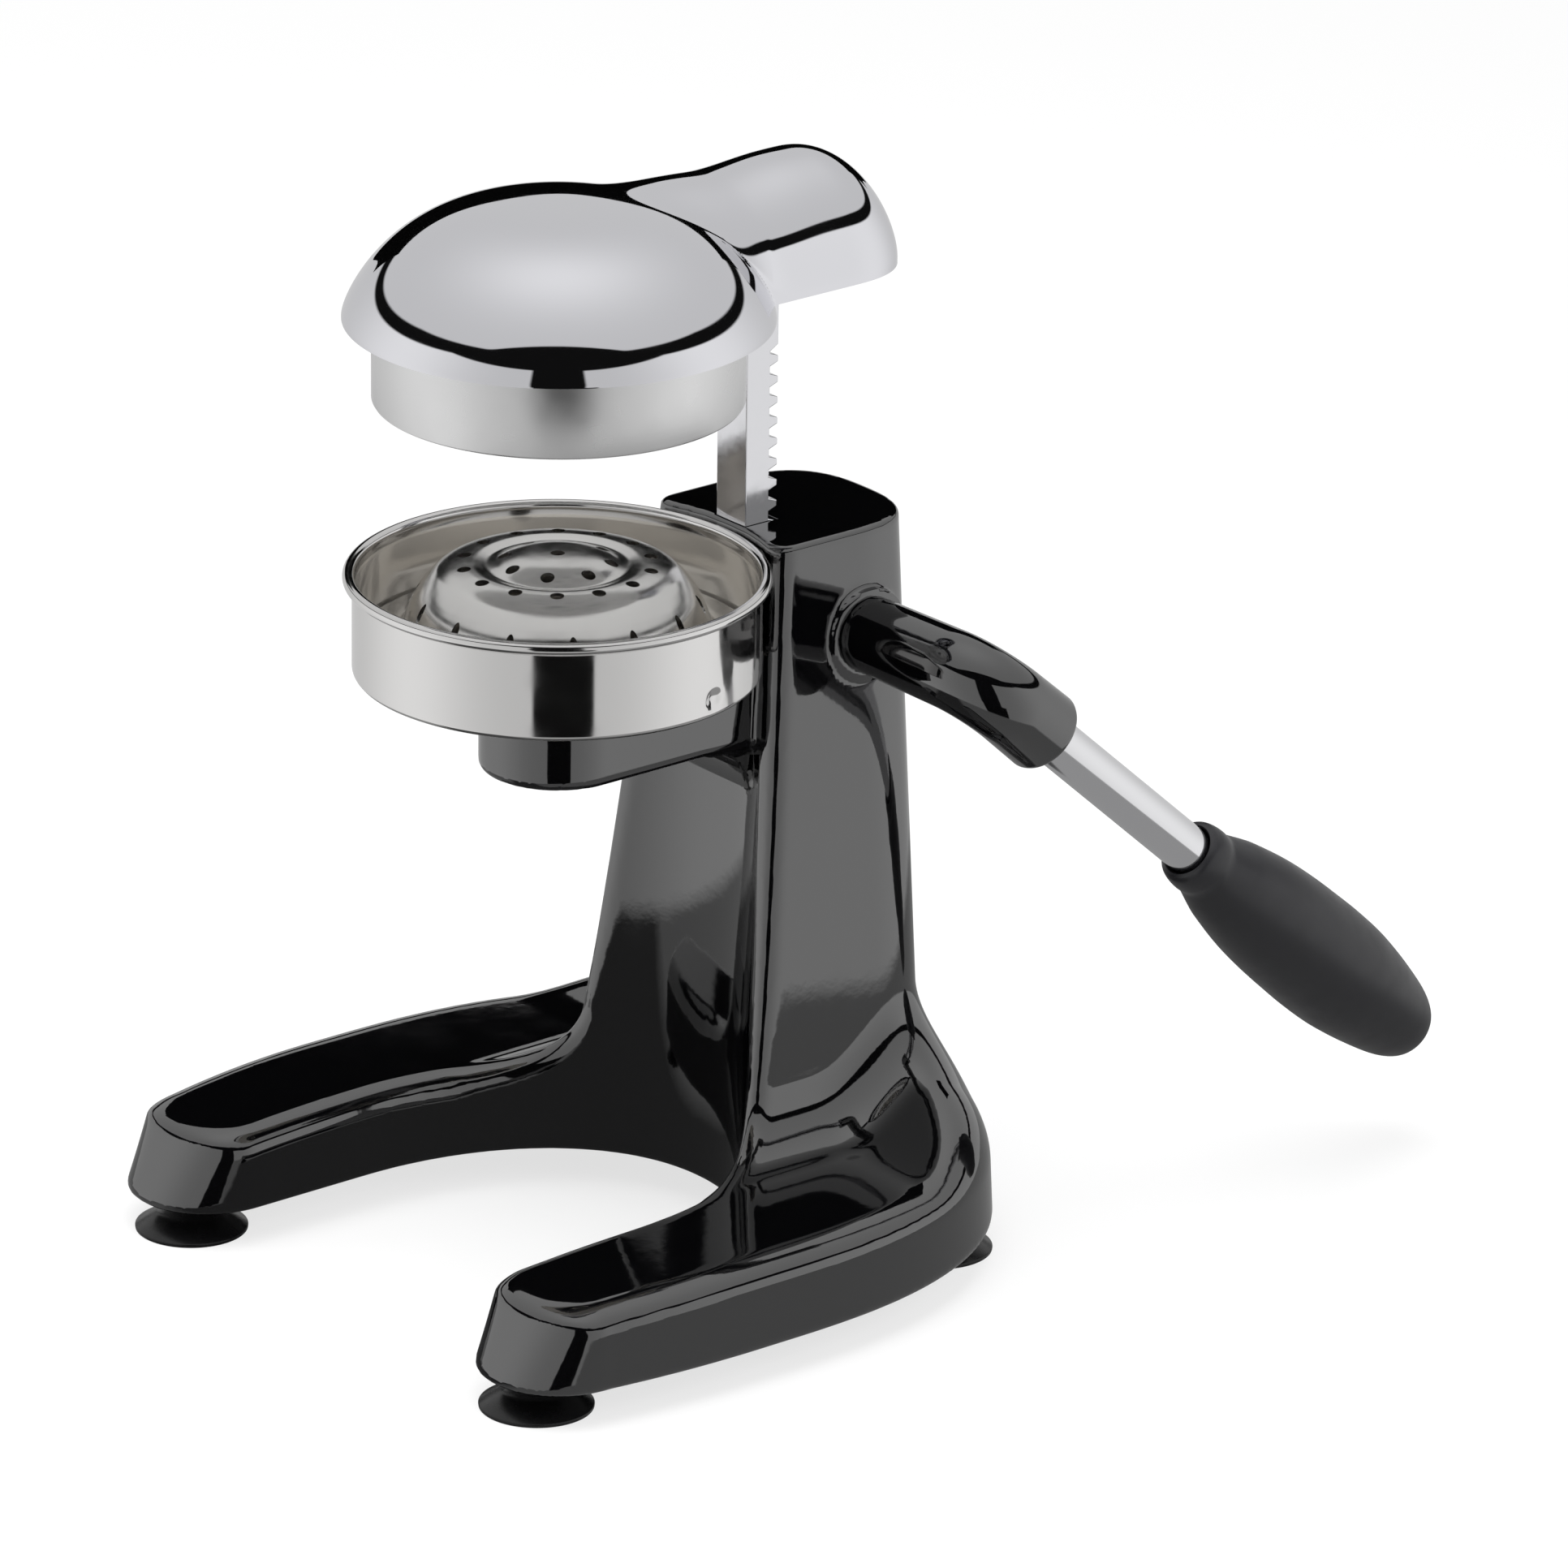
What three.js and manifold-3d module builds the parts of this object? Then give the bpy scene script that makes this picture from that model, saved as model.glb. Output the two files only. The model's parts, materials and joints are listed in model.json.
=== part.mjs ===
// Lever citrus juice press: an enamelled cast stand, a rack with a chromed pressing head,
// a pinion turned by a side lever, and a lift-out juice cup with its strainer.
// Millimetres, +Z up, +Y to the back, +X to the lever side. Heights are counted from the table.
import * as THREE from 'three';
import { mergeVertices } from 'three/addons/utils/BufferGeometryUtils.js';
import Module from 'manifold-3d';

const wasm = await Module();
wasm.setup();

// Clearances
const seatGap = 0.3; // between two pieces that touch
const cutOverrun = 2; // how far a cutter runs past the face that it opens
const cornerMerge = 0.0001; // corners closer than this are one

// Stand: base. The plan is drawn round the axis of the juice cup.
const base = {
  bottomZ: 9,
  armTopZ: 30,
  deckTopZ: 45.6,
  deckRiseStartY: 48,
  deckRiseEndY: 90,
  halfWidth: 92.5,
  rearY: 105,
  rearExponent: 2.5,
  sideBowStartY: -10,
  sideBowRun: 3.2,
  frontY: -73.4,
  frontSlopeRun: 10.5,
  capCentreY: -52,
  capExponent: 2.3,
  armEdgeRun: 8,
  armEdgeDrop: 6,
  deckEdgeRun: 24,
  deckEdgeDrop: 21.6,
  deckFlatRun: 9,
  innerEdgeRun: 2.4,
  wallDraft: 0.8,
  pocketWall: 8,
  pocketRoofZ: 23,
  pocketFrontY: -40,
  pocketRearY: 42,
  // Stops along an arm's straight side, and along a pocket's outer side
  sideStopShares: [0.4, 0.7],
  pocketStopShares: [1, 0.67, 0.33],
};

// Stand: the opening between the arms, which goes on as the scoop in the front of the column
const opening = {
  halfWidth: 49.5,
  centreY: -20,
  depth: 64.5,
  exponent: 2.15,
  draftShare: 0.044, // how far the opening widens for each unit of height
  frontY: -110,
};

// Stand: column
const column = {
  topZ: 178.8,
  topHalfWidth: 24.4,
  taperShare: 0.08, // how far each side moves out for each unit downwards
  rearY: 95.4,
  rearTaperShare: 0.0125, // how far the rear moves out for each unit downwards
  rearDepth: 24,
  rearExponent: 2.7,
  sideFrontY: 56,
  cornerInset: 3.5,
  cornerTaperShare: 0.02, // how far the front corners' inset grows for each unit downwards
  coreY: 30,
  frontShare: 0.83, // how far the straight side reaches from the scoop's edge to its own front
  cornerWayShares: [0.25, 0.45], // the bend of a front corner: inwards, and towards the scoop
  rearGrowShare: 0.33, // how much of the foot's fillet goes to the rear
  footFillet: 7,
  topEdge: 1.4,
};

// Stand: bracket under the cup
const bracket = {
  radius: 18.85,
  topZ: 152.2,
  bottomZ: 128,
  bottomEdge: 2,
  rootY: 58,
  fillet: 12,
  boreRadius: 13,
};

// Rack and pinion
const rack = {
  width: 11.2,
  frontY: 53.1,
  bottomZ: 128,
  topZ: 262,
  plainLength: 40, // the upper part without teeth
  toothPhase: 0.76, // how far the teeth stand above the axle's own pitch grid
  pitch: 5.27,
  addendum: 1.15,
  dedendum: 1.35,
  bodyDepth: 7.2,
  flankDegrees: 20,
  flankPlay: 0.14,
  frontEdge: 1,
  plainStartShare: 0.25, // how far above the last tooth space the plain part starts, in pitches
};
const pinion = {
  teeth: 15,
  z: 153.2,
  addendum: 1.05,
  dedendum: 1.55,
  faceWidth: 11,
  hubRadius: 9.4,
  flankShares: [0, 0.35, 0.7, 1], // where a tooth's flank is stepped, from its base to its tip
};

// The rack's way and the gear chamber inside the column
const well = {
  halfWidth: 11.5,
  rearY: 92,
  roofZ: 171,
  shoulderZ: 137,
};

// Shaft across the column, its bushes and its end fixing
const shaft = {
  radius: 6,
  leftX: -28.6,
  rightX: 47,
};
const boss = {
  radius: 11.3,
  faceX: 28,
  rootX: 20,
};
const bush = {
  wall: 2,
  flangeRadius: 9.4,
  flangeThickness: 1.2,
};
const endWasher = {
  radius: 9.6,
  thickness: 1.6,
};
const setScrew = {
  radius: 1.6,
  length: 3.6,
};
// Screw heads: their flat top and their slot, as shares of the head's radius and height
const screwHead = {
  topShare: 0.75,
  slotHalfShare: 0.17,
  slotDepthShare: 0.33,
};
const endScrew = {
  threadRadius: 2.5,
  threadLength: 12,
  headRadius: 4.6,
  headHeight: 3.2,
};

// Lever
const lever = {
  planeX: 70.5,
  downDegrees: 41.5,
  bendRadius: 12,
  elbowBossRadius: 9.4,
  elbowEndRadius: 10.3,
  elbowTail: 13.6,
  tubeRadius: 6.05,
  tubeWall: 1.4,
  tubeStart: 14,
  gripStart: 88,
  gripLength: 101,
  gripRadius: 14.9,
  gripBoreDepth: 62,
};

// Head: the chromed casting over the fruit, a dome with an arm to the back
const head = {
  rimZ: 241.8,
  radius: 51.7,
  domeBaseZ: 242.3,
  domeHeight: 27.4,
  domeExponent: 3.04,
  domeHeightExponent: 1.3,
  domeFade: 2, // how steeply the dome's share in the blend ends outside its rim
  armHalfWidth: 24.4,
  armBaseZ: 243.3,
  armExponent: 2.05,
  armHeightExponent: 1.61,
  armRootY: 45,
  armRootRun: 30,
  armRootExponent: 2.5,
  armEndStartY: 70.6,
  armEndY: 95.4,
  armEndExponent: 2.66,
  // The arm's ridge: places along y and the height at each
  ridgeY: [45, 70, 96],
  ridgeZ: [268.5, 269.7, 267.8],
  blend: 19.2,
  wall: 3.6,
  centreY: 24,
  rackBlockHalfWidth: 10,
  rackBlockWall: 4.4,
  rackBlockBottomZ: 245,
  screwBossRadius: 7,
};

// Press ring: the drawn steel bell under the head, a little smaller than the dome
const ring = {
  overhang: 7.1, // how far the head stands out beyond the ring
  bottomZ: 221.7,
  shoulderZ: 241.6,
  topZ: 255.8,
  wall: 0.9,
  lipRadius: 1.2,
  lipWallShare: 0.33, // how much of the wall the lip's slant takes
};
const ringScrew = {
  threadRadius: 3,
  threadLength: 7,
  headRadius: 6,
  headHeight: 3.4,
};

// Juice cup
const cup = {
  rimRadius: 51.5,
  beadRadius: 1.45,
  rimZ: 177.9,
  bottomZ: 152.5,
  wallRadius: 49.2,
  wall: 0.9,
  cornerRadius: 2.4,
  dimpleZ: 157.2,
  dimpleCount: 2,
  dimpleRadius: 4,
  dimpleReach: 2.6,
  dimpleDegrees: 12,
  beadStartDegrees: -70,
  beadEndDegrees: 215,
  slopeWallShare: 0.33, // how much higher the funnel's inner bends lie, in wall thicknesses
  collarRadius: 12.4,
  collarDrop: 5,
  spoutRadius: 6.8,
  spoutConeDrop: 16,
  spoutBottomZ: 129.6,
};

// Strainer dome. Its profile is given by radii and heights above the cup's bottom.
const strainer = {
  flangeRadius: 47.4,
  flangeZ: 160.4,
  footRadius: 38.4,
  footRise: 1.1,
  shoulderRadius: 31,
  shoulderZ: 176.9,
  // The wall from the shoulder to the foot: shares of the way outwards, and of the height
  wallWayShares: [0.27, 0.486, 0.7, 0.87],
  wallHeightShares: [0.885, 0.739, 0.53, 0.27],
  // The bends between the middle, the valley, the crest and the shoulder: shares of the way and
  // of the height from one to the next
  plateauHeightShare: 0.8,
  valleyHeightShare: 0.66,
  crestInShares: [0.5, 0.6],
  crestOutShares: [0.55, 0.7],
  crestRadius: 20,
  crestZ: 180.4,
  valleyRadius: 17,
  valleyZ: 179.3,
  plateauRadius: 11,
  plateauZ: 181.4,
  centreZ: 182.3,
  wall: 0.8,
  holeRadius: 1.35,
  centreHoleRadius: 1.6,
  innerHoles: 8,
  innerHoleRingRadius: 13,
  outerHoles: 14,
  outerHoleRingRadius: 22.9,
  slots: 14,
  slotZ: 171.6,
  slotHeight: 4.6,
  slotWidth: 2.2,
};

// Suction feet
const foot = {
  radius: 13.8,
  seatInnerRadius: 10.4,
  rimThickness: 0.9,
  hollow: 1.6,
  waistRadius: 6.4,
  stemRadius: 3.3,
  stemHeight: 5,
  hollowShare: 0.7, // how far out the hollow stays level
  // The flare from the rim up to the waist: shares of the way inwards, and heights
  flareShares: [0.35, 0.8],
  flareZ: [2.7, 5.4],
  frontX: 68.4,
  frontY: -59,
  rearX: 53,
  rearY: 77,
};

// How finely round and blended forms are stepped
const steps = {
  round: 40,
  bore: 16,
  small: 10,
  hole: 6,
  corner: 4,
  edge: 2,
  bracket: 16,
  cupBore: 20,
  cupCorner: 3,
  bead: 8,
  baseRear: 12,
  baseInside: 10,
  cap: 5,
  columnRear: 8,
  scoop: 14,
  headRound: 48,
  headRise: 14,
  headCrowding: 1.15, // how much closer the rows of the head's skin lie near its rim
  headSearch: 26,
  elbow: 16,
};

// Places that follow from the sizes above
const ringRadius = head.radius - ring.overhang;
const pitchRadius = (rack.pitch * pinion.teeth) / (2 * Math.PI);
const rackRootY = rack.frontY + rack.bodyDepth;
const pitchLineY = rackRootY + rack.dedendum;
const rackTipY = pitchLineY + rack.addendum;
const axleY = pitchLineY + pitchRadius;
const axleZ = pinion.z;
const leverAngle = THREE.MathUtils.degToRad(lever.downDegrees);
const leverDirection = new THREE.Vector3(0, Math.cos(leverAngle), -Math.sin(leverAngle));

// Finishes
const finish = (colour, roughness, metalness) =>
  new THREE.MeshStandardMaterial({ color: colour, roughness, metalness });
const finishes = {
  enamel: () => finish(0x0b0b0c, 0.12, 0),
  chrome: () => finish(0xd9d9dc, 0.06, 1),
  steel: () => finish(0xc4c2bd, 0.22, 1),
  polishedSteel: () => finish(0xcfccc6, 0.14, 1),
  gearSteel: () => finish(0x9a9a9a, 0.4, 1),
  bronze: () => finish(0x9c7a45, 0.38, 1),
  grip: () => finish(0x2b2b2d, 0.55, 0),
  rubber: () => finish(0x131314, 0.6, 0),
};

// Solids and their geometries

// Turns a closed geometry into a solid: shared corners are merged, slivers of no area are left
// out, and the faces are turned outwards if the signed volume says that they point in.
function solidOf(geometry) {
  const bare = geometry.clone();
  bare.deleteAttribute('normal');
  bare.deleteAttribute('uv');
  const merged = mergeVertices(bare, cornerMerge);
  const corners = Float32Array.from(merged.attributes.position.array);
  const index = merged.index.array;
  const faces = [];
  for (let i = 0; i < index.length; i += 3) {
    const [a, b, c] = [index[i], index[i + 1], index[i + 2]];
    if (a !== b && b !== c && c !== a) faces.push([a, b, c]);
  }
  const corner = (i) => new THREE.Vector3().fromArray(corners, 3 * i);
  const volume = faces.reduce((sum, [a, b, c]) => sum + corner(a).dot(corner(b).cross(corner(c))), 0);
  const facing = volume < 0 ? faces.map(([a, b, c]) => [a, c, b]) : faces;
  const triVerts = Uint32Array.from(facing.flat());
  return new wasm.Manifold(new wasm.Mesh({ numProp: 3, vertProperties: corners, triVerts }));
}

function geometryOf(solid) {
  const mesh = solid.getMesh();
  const geometry = new THREE.BufferGeometry();
  geometry.setAttribute('position', new THREE.BufferAttribute(mesh.vertProperties, 3));
  geometry.setIndex(new THREE.BufferAttribute(mesh.triVerts, 1));
  geometry.computeVertexNormals();
  return geometry;
}

function cut(solid, ...cutters) {
  return cutters.reduce((rest, cutter) => rest.subtract(cutter), solid);
}

function join(...solids) {
  return solids.reduce((whole, solid) => whole.add(solid));
}

// A skin over rows of corners, all rows alike in count, closed by a flat or gently curved
// lid over the plan of the first and the last row
function loft(givenRows) {
  const plan = givenRows[0].map((p) => new THREE.Vector2(p.x, p.y));
  const clockwise = THREE.ShapeUtils.isClockWise(plan);
  const rows = givenRows.map((row) => (clockwise ? row.slice().reverse() : row));
  const count = rows[0].length;
  const positions = rows.flat().flatMap((p) => [p.x, p.y, p.z]);
  const index = [];
  for (let row = 0; row + 1 < rows.length; row += 1) {
    for (let i = 0; i < count; i += 1) {
      const j = (i + 1) % count;
      const [a, b] = [row * count + i, row * count + j];
      const [c, d] = [a + count, b + count];
      index.push(a, b, d, a, d, c);
    }
  }
  const lid = (row, flip) => {
    const outline = rows[row].map((p) => new THREE.Vector2(p.x, p.y));
    for (const [a, b, c] of THREE.ShapeUtils.triangulateShape(outline, [])) {
      const corners = flip ? [c, b, a] : [a, b, c];
      index.push(...corners.map((i) => row * count + i));
    }
  };
  lid(0, true);
  lid(rows.length - 1, false);
  const geometry = new THREE.BufferGeometry();
  geometry.setAttribute('position', new THREE.Float32BufferAttribute(positions, 3));
  geometry.setIndex(index);
  return solidOf(geometry);
}

// A body turned about a vertical axis from a profile of [radius, height] pairs
function turned(profile, sides = steps.round) {
  const points = profile.map(([radius, height]) => new THREE.Vector2(radius, height));
  const geometry = new THREE.LatheGeometry(points, sides);
  geometry.rotateX(Math.PI / 2);
  return solidOf(geometry);
}

// A body turned about an axis through a point, with the profile's heights running along it
function turnedAlong(profile, origin, direction, sides) {
  const toAxis = new THREE.Quaternion().setFromUnitVectors(new THREE.Vector3(0, 0, 1), direction);
  const place = new THREE.Matrix4().compose(origin, toAxis, new THREE.Vector3(1, 1, 1));
  return turned(profile, sides).transform(place.elements);
}

function rodProfile(radius, from, to) {
  return [[0, from], [radius, from], [radius, to], [0, to]];
}

const alongX = new THREE.Vector3(1, 0, 0);
const alongY = new THREE.Vector3(0, 1, 0);
const axleOrigin = new THREE.Vector3(0, axleY, axleZ);

function rodAcross(radius, fromX, toX, y, z, sides = steps.small) {
  return turnedAlong(rodProfile(radius, fromX, toX), new THREE.Vector3(0, y, z), alongX, sides);
}

// A block between two corners
function block(low, high) {
  const [x, y, z] = [0, 1, 2].map((i) => high[i] - low[i]);
  const geometry = new THREE.BoxGeometry(x, y, z);
  geometry.translate(...[0, 1, 2].map((i) => (low[i] + high[i]) / 2));
  return solidOf(geometry);
}

// A plate with an outline of [y, z] pairs, from one X to another
function plateAcross(outline, fromX, toX) {
  const shape = new THREE.Shape(outline.map(([y, z]) => new THREE.Vector2(y, z)));
  const geometry = new THREE.ExtrudeGeometry(shape, { depth: toX - fromX, bevelEnabled: false });
  const turn = new THREE.Matrix4().makeBasis(alongY, new THREE.Vector3(0, 0, 1), alongX);
  geometry.applyMatrix4(turn);
  geometry.translate(fromX, 0, 0);
  return solidOf(geometry);
}

const smoothShare = (share) => {
  const t = THREE.MathUtils.clamp(share, 0, 1);
  return t * t * (3 - 2 * t);
};

// A quarter of a superellipse, from its first axis (angle 0) to its second (a quarter turn)
const superPoint = (angle, a, b, exponent) => [
  a * Math.abs(Math.cos(angle)) ** (2 / exponent) * Math.sign(Math.cos(angle)),
  b * Math.abs(Math.sin(angle)) ** (2 / exponent) * Math.sign(Math.sin(angle)),
];
const quarter = (count) => Array.from({ length: count + 1 }, (_, i) => (i / count) * (Math.PI / 2));

// Stand

// The deck rises from the arms to the foot of the column.
const deckShare = (y) =>
  smoothShare((y - base.deckRiseStartY) / (base.deckRiseEndY - base.deckRiseStartY));
const mix = (from, to, share) => from + (to - from) * share;

// Half of the base's plan, from the middle of the rear edge round the arm to the middle of the
// opening, drawn in by the given runs. Each point is [x, y].
function basePlanHalf(outerRun, innerRun, frontRun, height) {
  const widened = opening.draftShare * (height - base.bottomZ);
  const innerX = opening.halfWidth + widened + innerRun;
  const bow = (y) => {
    const share = (base.sideBowStartY - y) / (base.sideBowStartY - base.capCentreY);
    return base.sideBowRun * Math.max(share, 0) ** 2;
  };
  const outerX = (y) => base.halfWidth - outerRun(y) - bow(y);
  const points = [];
  for (const angle of quarter(steps.baseRear)) {
    const [y0, x0] = superPoint(angle, base.rearY, base.halfWidth, base.rearExponent);
    const inward = new THREE.Vector2(
      Math.sign(x0) * Math.abs(x0 / base.halfWidth) ** (base.rearExponent - 1) / base.halfWidth,
      Math.sign(y0) * Math.abs(y0 / base.rearY) ** (base.rearExponent - 1) / base.rearY,
    ).normalize();
    const run = outerRun(y0);
    points.push([x0 - inward.x * run, y0 - inward.y * run]);
  }
  for (const share of base.sideStopShares) {
    points.push([outerX(base.capCentreY * share), base.capCentreY * share]);
  }
  const capHalf = (outerX(base.capCentreY) - innerX) / 2;
  const capX = (outerX(base.capCentreY) + innerX) / 2;
  const capDepth = base.capCentreY - base.frontY - frontRun;
  const capAngles = quarter(steps.cap);
  for (const angle of capAngles) {
    const [x, y] = superPoint(angle, capHalf, capDepth, base.capExponent);
    points.push([capX + x, base.capCentreY - y]);
  }
  for (const angle of capAngles.slice(0, -1).reverse()) {
    const [x, y] = superPoint(angle, capHalf, capDepth, base.capExponent);
    points.push([capX - x, base.capCentreY - y]);
  }
  for (const angle of quarter(steps.baseInside)) {
    const depth = opening.depth + widened + innerRun;
    const [x, y] = superPoint(angle, innerX, depth, opening.exponent);
    points.push([x, opening.centreY + y]);
  }
  return points;
}

// The plan round both arms, as a closed ring of corners. The height may follow y.
function basePlan(outerRun, innerRun, frontRun, heightAt) {
  const right = basePlanHalf(outerRun, innerRun, frontRun, heightAt(base.capCentreY));
  const left = right.slice(1, -1).reverse().map(([x, y]) => [-x, y]);
  return [...right, ...left].map(([x, y]) => new THREE.Vector3(x, y, heightAt(y))).reverse();
}

function baseSolid() {
  const topAt = (y) => mix(base.armTopZ, base.deckTopZ, deckShare(y));
  const runAt = (y) => mix(base.armEdgeRun, base.deckEdgeRun, deckShare(y));
  const dropAt = (y) => mix(base.armEdgeDrop, base.deckEdgeDrop, deckShare(y));
  const slope = base.frontSlopeRun / (base.armTopZ - base.bottomZ);
  const rows = [basePlan(() => 0, 0, 0, () => base.bottomZ)];
  for (const angle of quarter(steps.corner)) {
    const height = (y) => topAt(y) - dropAt(y) * (1 - Math.sin(angle));
    const run = (y) => base.wallDraft + runAt(y) * (1 - Math.cos(angle));
    const frontRun = slope * (height(base.capCentreY) - base.bottomZ);
    rows.push(basePlan(run, base.innerEdgeRun * (1 - Math.cos(angle)), frontRun, height));
  }
  // The level part of the deck, up to the foot of the column
  const frontRun = slope * (base.armTopZ - base.bottomZ);
  const deckRun = (y) => base.wallDraft + runAt(y) + base.deckFlatRun * deckShare(y);
  rows.push(basePlan(deckRun, base.innerEdgeRun, frontRun, topAt));
  return loft(rows);
}

// The column's plan at a height, grown outwards by a fillet's run at its foot
function columnPlan(height, grow) {
  const halfWidth = column.topHalfWidth + column.taperShare * (column.topZ - height);
  const side = halfWidth + grow;
  const below = column.topZ - height;
  const rearStart = column.rearY - column.rearDepth + column.rearTaperShare * below;
  const inset = column.cornerInset + column.cornerTaperShare * below;
  const rearGrow = grow * column.rearGrowShare;
  const right = [];
  for (const angle of quarter(steps.columnRear)) {
    const [y, x] = superPoint(angle, column.rearDepth + rearGrow, side, column.rearExponent);
    right.push([x, rearStart + y]);
  }
  const scoop = opening.depth + opening.draftShare * (height - base.bottomZ) + opening.centreY;
  const edgeX = halfWidth - inset;
  const edgeY = Math.sqrt(Math.max(scoop ** 2 - edgeX ** 2, 0));
  const frontY = Math.min(column.sideFrontY, mix(edgeY, column.sideFrontY, column.frontShare));
  const [inShare, onShare] = column.cornerWayShares;
  right.push([side, frontY]);
  right.push([side - inset * inShare, mix(frontY, edgeY, onShare)]);
  right.push([edgeX + grow, edgeY]);
  right.push([edgeX + grow, column.coreY]);
  const left = right.slice(1).reverse().map(([x, y]) => [-x, y]);
  return [...right, ...left].reverse();
}

function columnSolid() {
  const row = (height, grow, lift = () => 0) =>
    columnPlan(height, grow).map(([x, y]) => new THREE.Vector3(x, y, height + lift(y)));
  const lift = (y) => (base.deckTopZ - base.armTopZ) * deckShare(y);
  const rows = [row(base.armTopZ - base.armEdgeDrop, column.footFillet)];
  for (const angle of quarter(steps.corner)) {
    const height = base.armTopZ + column.footFillet * (1 - Math.cos(angle));
    rows.push(row(height, column.footFillet * (1 - Math.sin(angle)), lift));
  }
  rows.push(row((base.deckTopZ + column.topZ) / 2, 0));
  rows.push(row(column.topZ - column.topEdge, 0));
  rows.push(row(column.topZ, -column.topEdge));
  return loft(rows);
}

// The space between the arms and the scoop above it: one tapering cutter, open to the front
function openingSolid() {
  const row = (height) => {
    const widened = opening.draftShare * (height - base.bottomZ);
    const right = [[opening.halfWidth + widened, opening.frontY]];
    for (const angle of quarter(steps.scoop)) {
      const halfWidth = opening.halfWidth + widened;
      const depth = opening.depth + widened;
      const [x, y] = superPoint(angle, halfWidth, depth, opening.exponent);
      right.push([x, opening.centreY + y]);
    }
    const left = right.slice(0, -1).reverse().map(([x, y]) => [-x, y]);
    return [...right, ...left].map(([x, y]) => new THREE.Vector3(x, y, height));
  };
  return loft([row(base.bottomZ - cutOverrun), row(column.topZ + cutOverrun)]);
}

function bracketSolid() {
  const plan = (inset, height) => {
    const radius = bracket.radius - inset;
    const front = Array.from({ length: steps.bracket + 1 }, (_, i) => {
      const angle = Math.PI + (i / steps.bracket) * Math.PI;
      return new THREE.Vector3(radius * Math.cos(angle), radius * Math.sin(angle), height);
    });
    const rear = [radius, -radius].map((x) => new THREE.Vector3(x, bracket.rootY, height));
    return [...front, ...rear];
  };
  const edge = quarter(steps.edge).map((angle) =>
    plan(
      bracket.bottomEdge * (1 - Math.sin(angle)),
      bracket.bottomZ + bracket.bottomEdge * (1 - Math.cos(angle)),
    ));
  const shelf = loft([...edge, plan(0, bracket.topZ)]);
  // The web under the shelf: a quarter round between its underside and the scoop
  const wallY = opening.depth + opening.centreY + opening.draftShare * (bracket.bottomZ - base.bottomZ);
  const filletY = wallY - bracket.fillet;
  const filletZ = bracket.bottomZ - bracket.fillet;
  const arc = quarter(steps.corner).map((angle) => [
    filletY + bracket.fillet * Math.sin(angle),
    filletZ + bracket.fillet * Math.cos(angle),
  ]);
  const outline = [...arc, [bracket.rootY, filletZ], [bracket.rootY, bracket.topZ], [filletY, bracket.topZ]];
  const webHalf = bracket.radius - bracket.bottomEdge;
  return join(shelf, plateAcross(outline, -webHalf, webHalf));
}

function pocketSolid(side) {
  const innerX = opening.halfWidth + base.pocketWall;
  const outerX = (y) => {
    const rearShare = Math.max(y, 0) / base.rearY;
    const halfWidth = base.halfWidth * (1 - rearShare ** base.rearExponent) ** (1 / base.rearExponent);
    return halfWidth - base.pocketWall;
  };
  const outerStops = base.pocketStopShares.map((share) => base.pocketRearY * share);
  outerStops.push(base.pocketFrontY);
  const plan = [
    [innerX, base.pocketFrontY],
    [innerX, base.pocketRearY],
    ...outerStops.map((y) => [outerX(y), y]),
  ];
  const row = (height) => plan.map(([x, y]) => new THREE.Vector3(side * x, y, height));
  return loft([row(base.bottomZ - cutOverrun), row(base.pocketRoofZ)]);
}

const footPlaces = [
  ['front_right', foot.frontX, foot.frontY],
  ['front_left', -foot.frontX, foot.frontY],
  ['rear_right', foot.rearX, foot.rearY],
  ['rear_left', -foot.rearX, foot.rearY],
];

function standCasting() {
  const bossRod = rodAcross(boss.radius, -boss.faceX, boss.faceX, axleY, axleZ, steps.round / 2);
  const body = join(cut(join(baseSolid(), columnSolid()), openingSolid()), bracketSolid(), bossRod);
  const wayHalf = rack.width / 2 + seatGap;
  const wayFrontY = rack.frontY - seatGap;
  const wayRearY = rackTipY + seatGap;
  const low = base.bottomZ - cutOverrun;
  const rackWay = block(
    [-wayHalf, wayFrontY, well.shoulderZ - cutOverrun],
    [wayHalf, wayRearY, column.topZ + cutOverrun],
  );
  const chamber = block([-well.halfWidth, wayRearY - seatGap, low], [well.halfWidth, well.rearY, well.roofZ]);
  const lowerWell = block([-well.halfWidth, wayFrontY, low], [well.halfWidth, well.rearY, well.shoulderZ]);
  const bushBore = rodAcross(
    shaft.radius + seatGap + bush.wall + seatGap,
    -boss.faceX - cutOverrun,
    boss.faceX + cutOverrun,
    axleY,
    axleZ,
    steps.bore,
  );
  const stemHoles = footPlaces.map(([, x, y]) => {
    const hole = rodProfile(foot.stemRadius + seatGap, low, base.bottomZ + foot.stemHeight + cutOverrun);
    return turned(hole, steps.small).translate([x, y, 0]);
  });
  const cupBore = turned(
    rodProfile(bracket.boreRadius, bracket.bottomZ - cutOverrun, bracket.topZ + cutOverrun),
    steps.cupBore,
  );
  return cut(
    body,
    rackWay,
    chamber,
    lowerWell,
    bushBore,
    cupBore,
    pocketSolid(1),
    pocketSolid(-1),
    ...stemHoles,
  );
}

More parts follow.
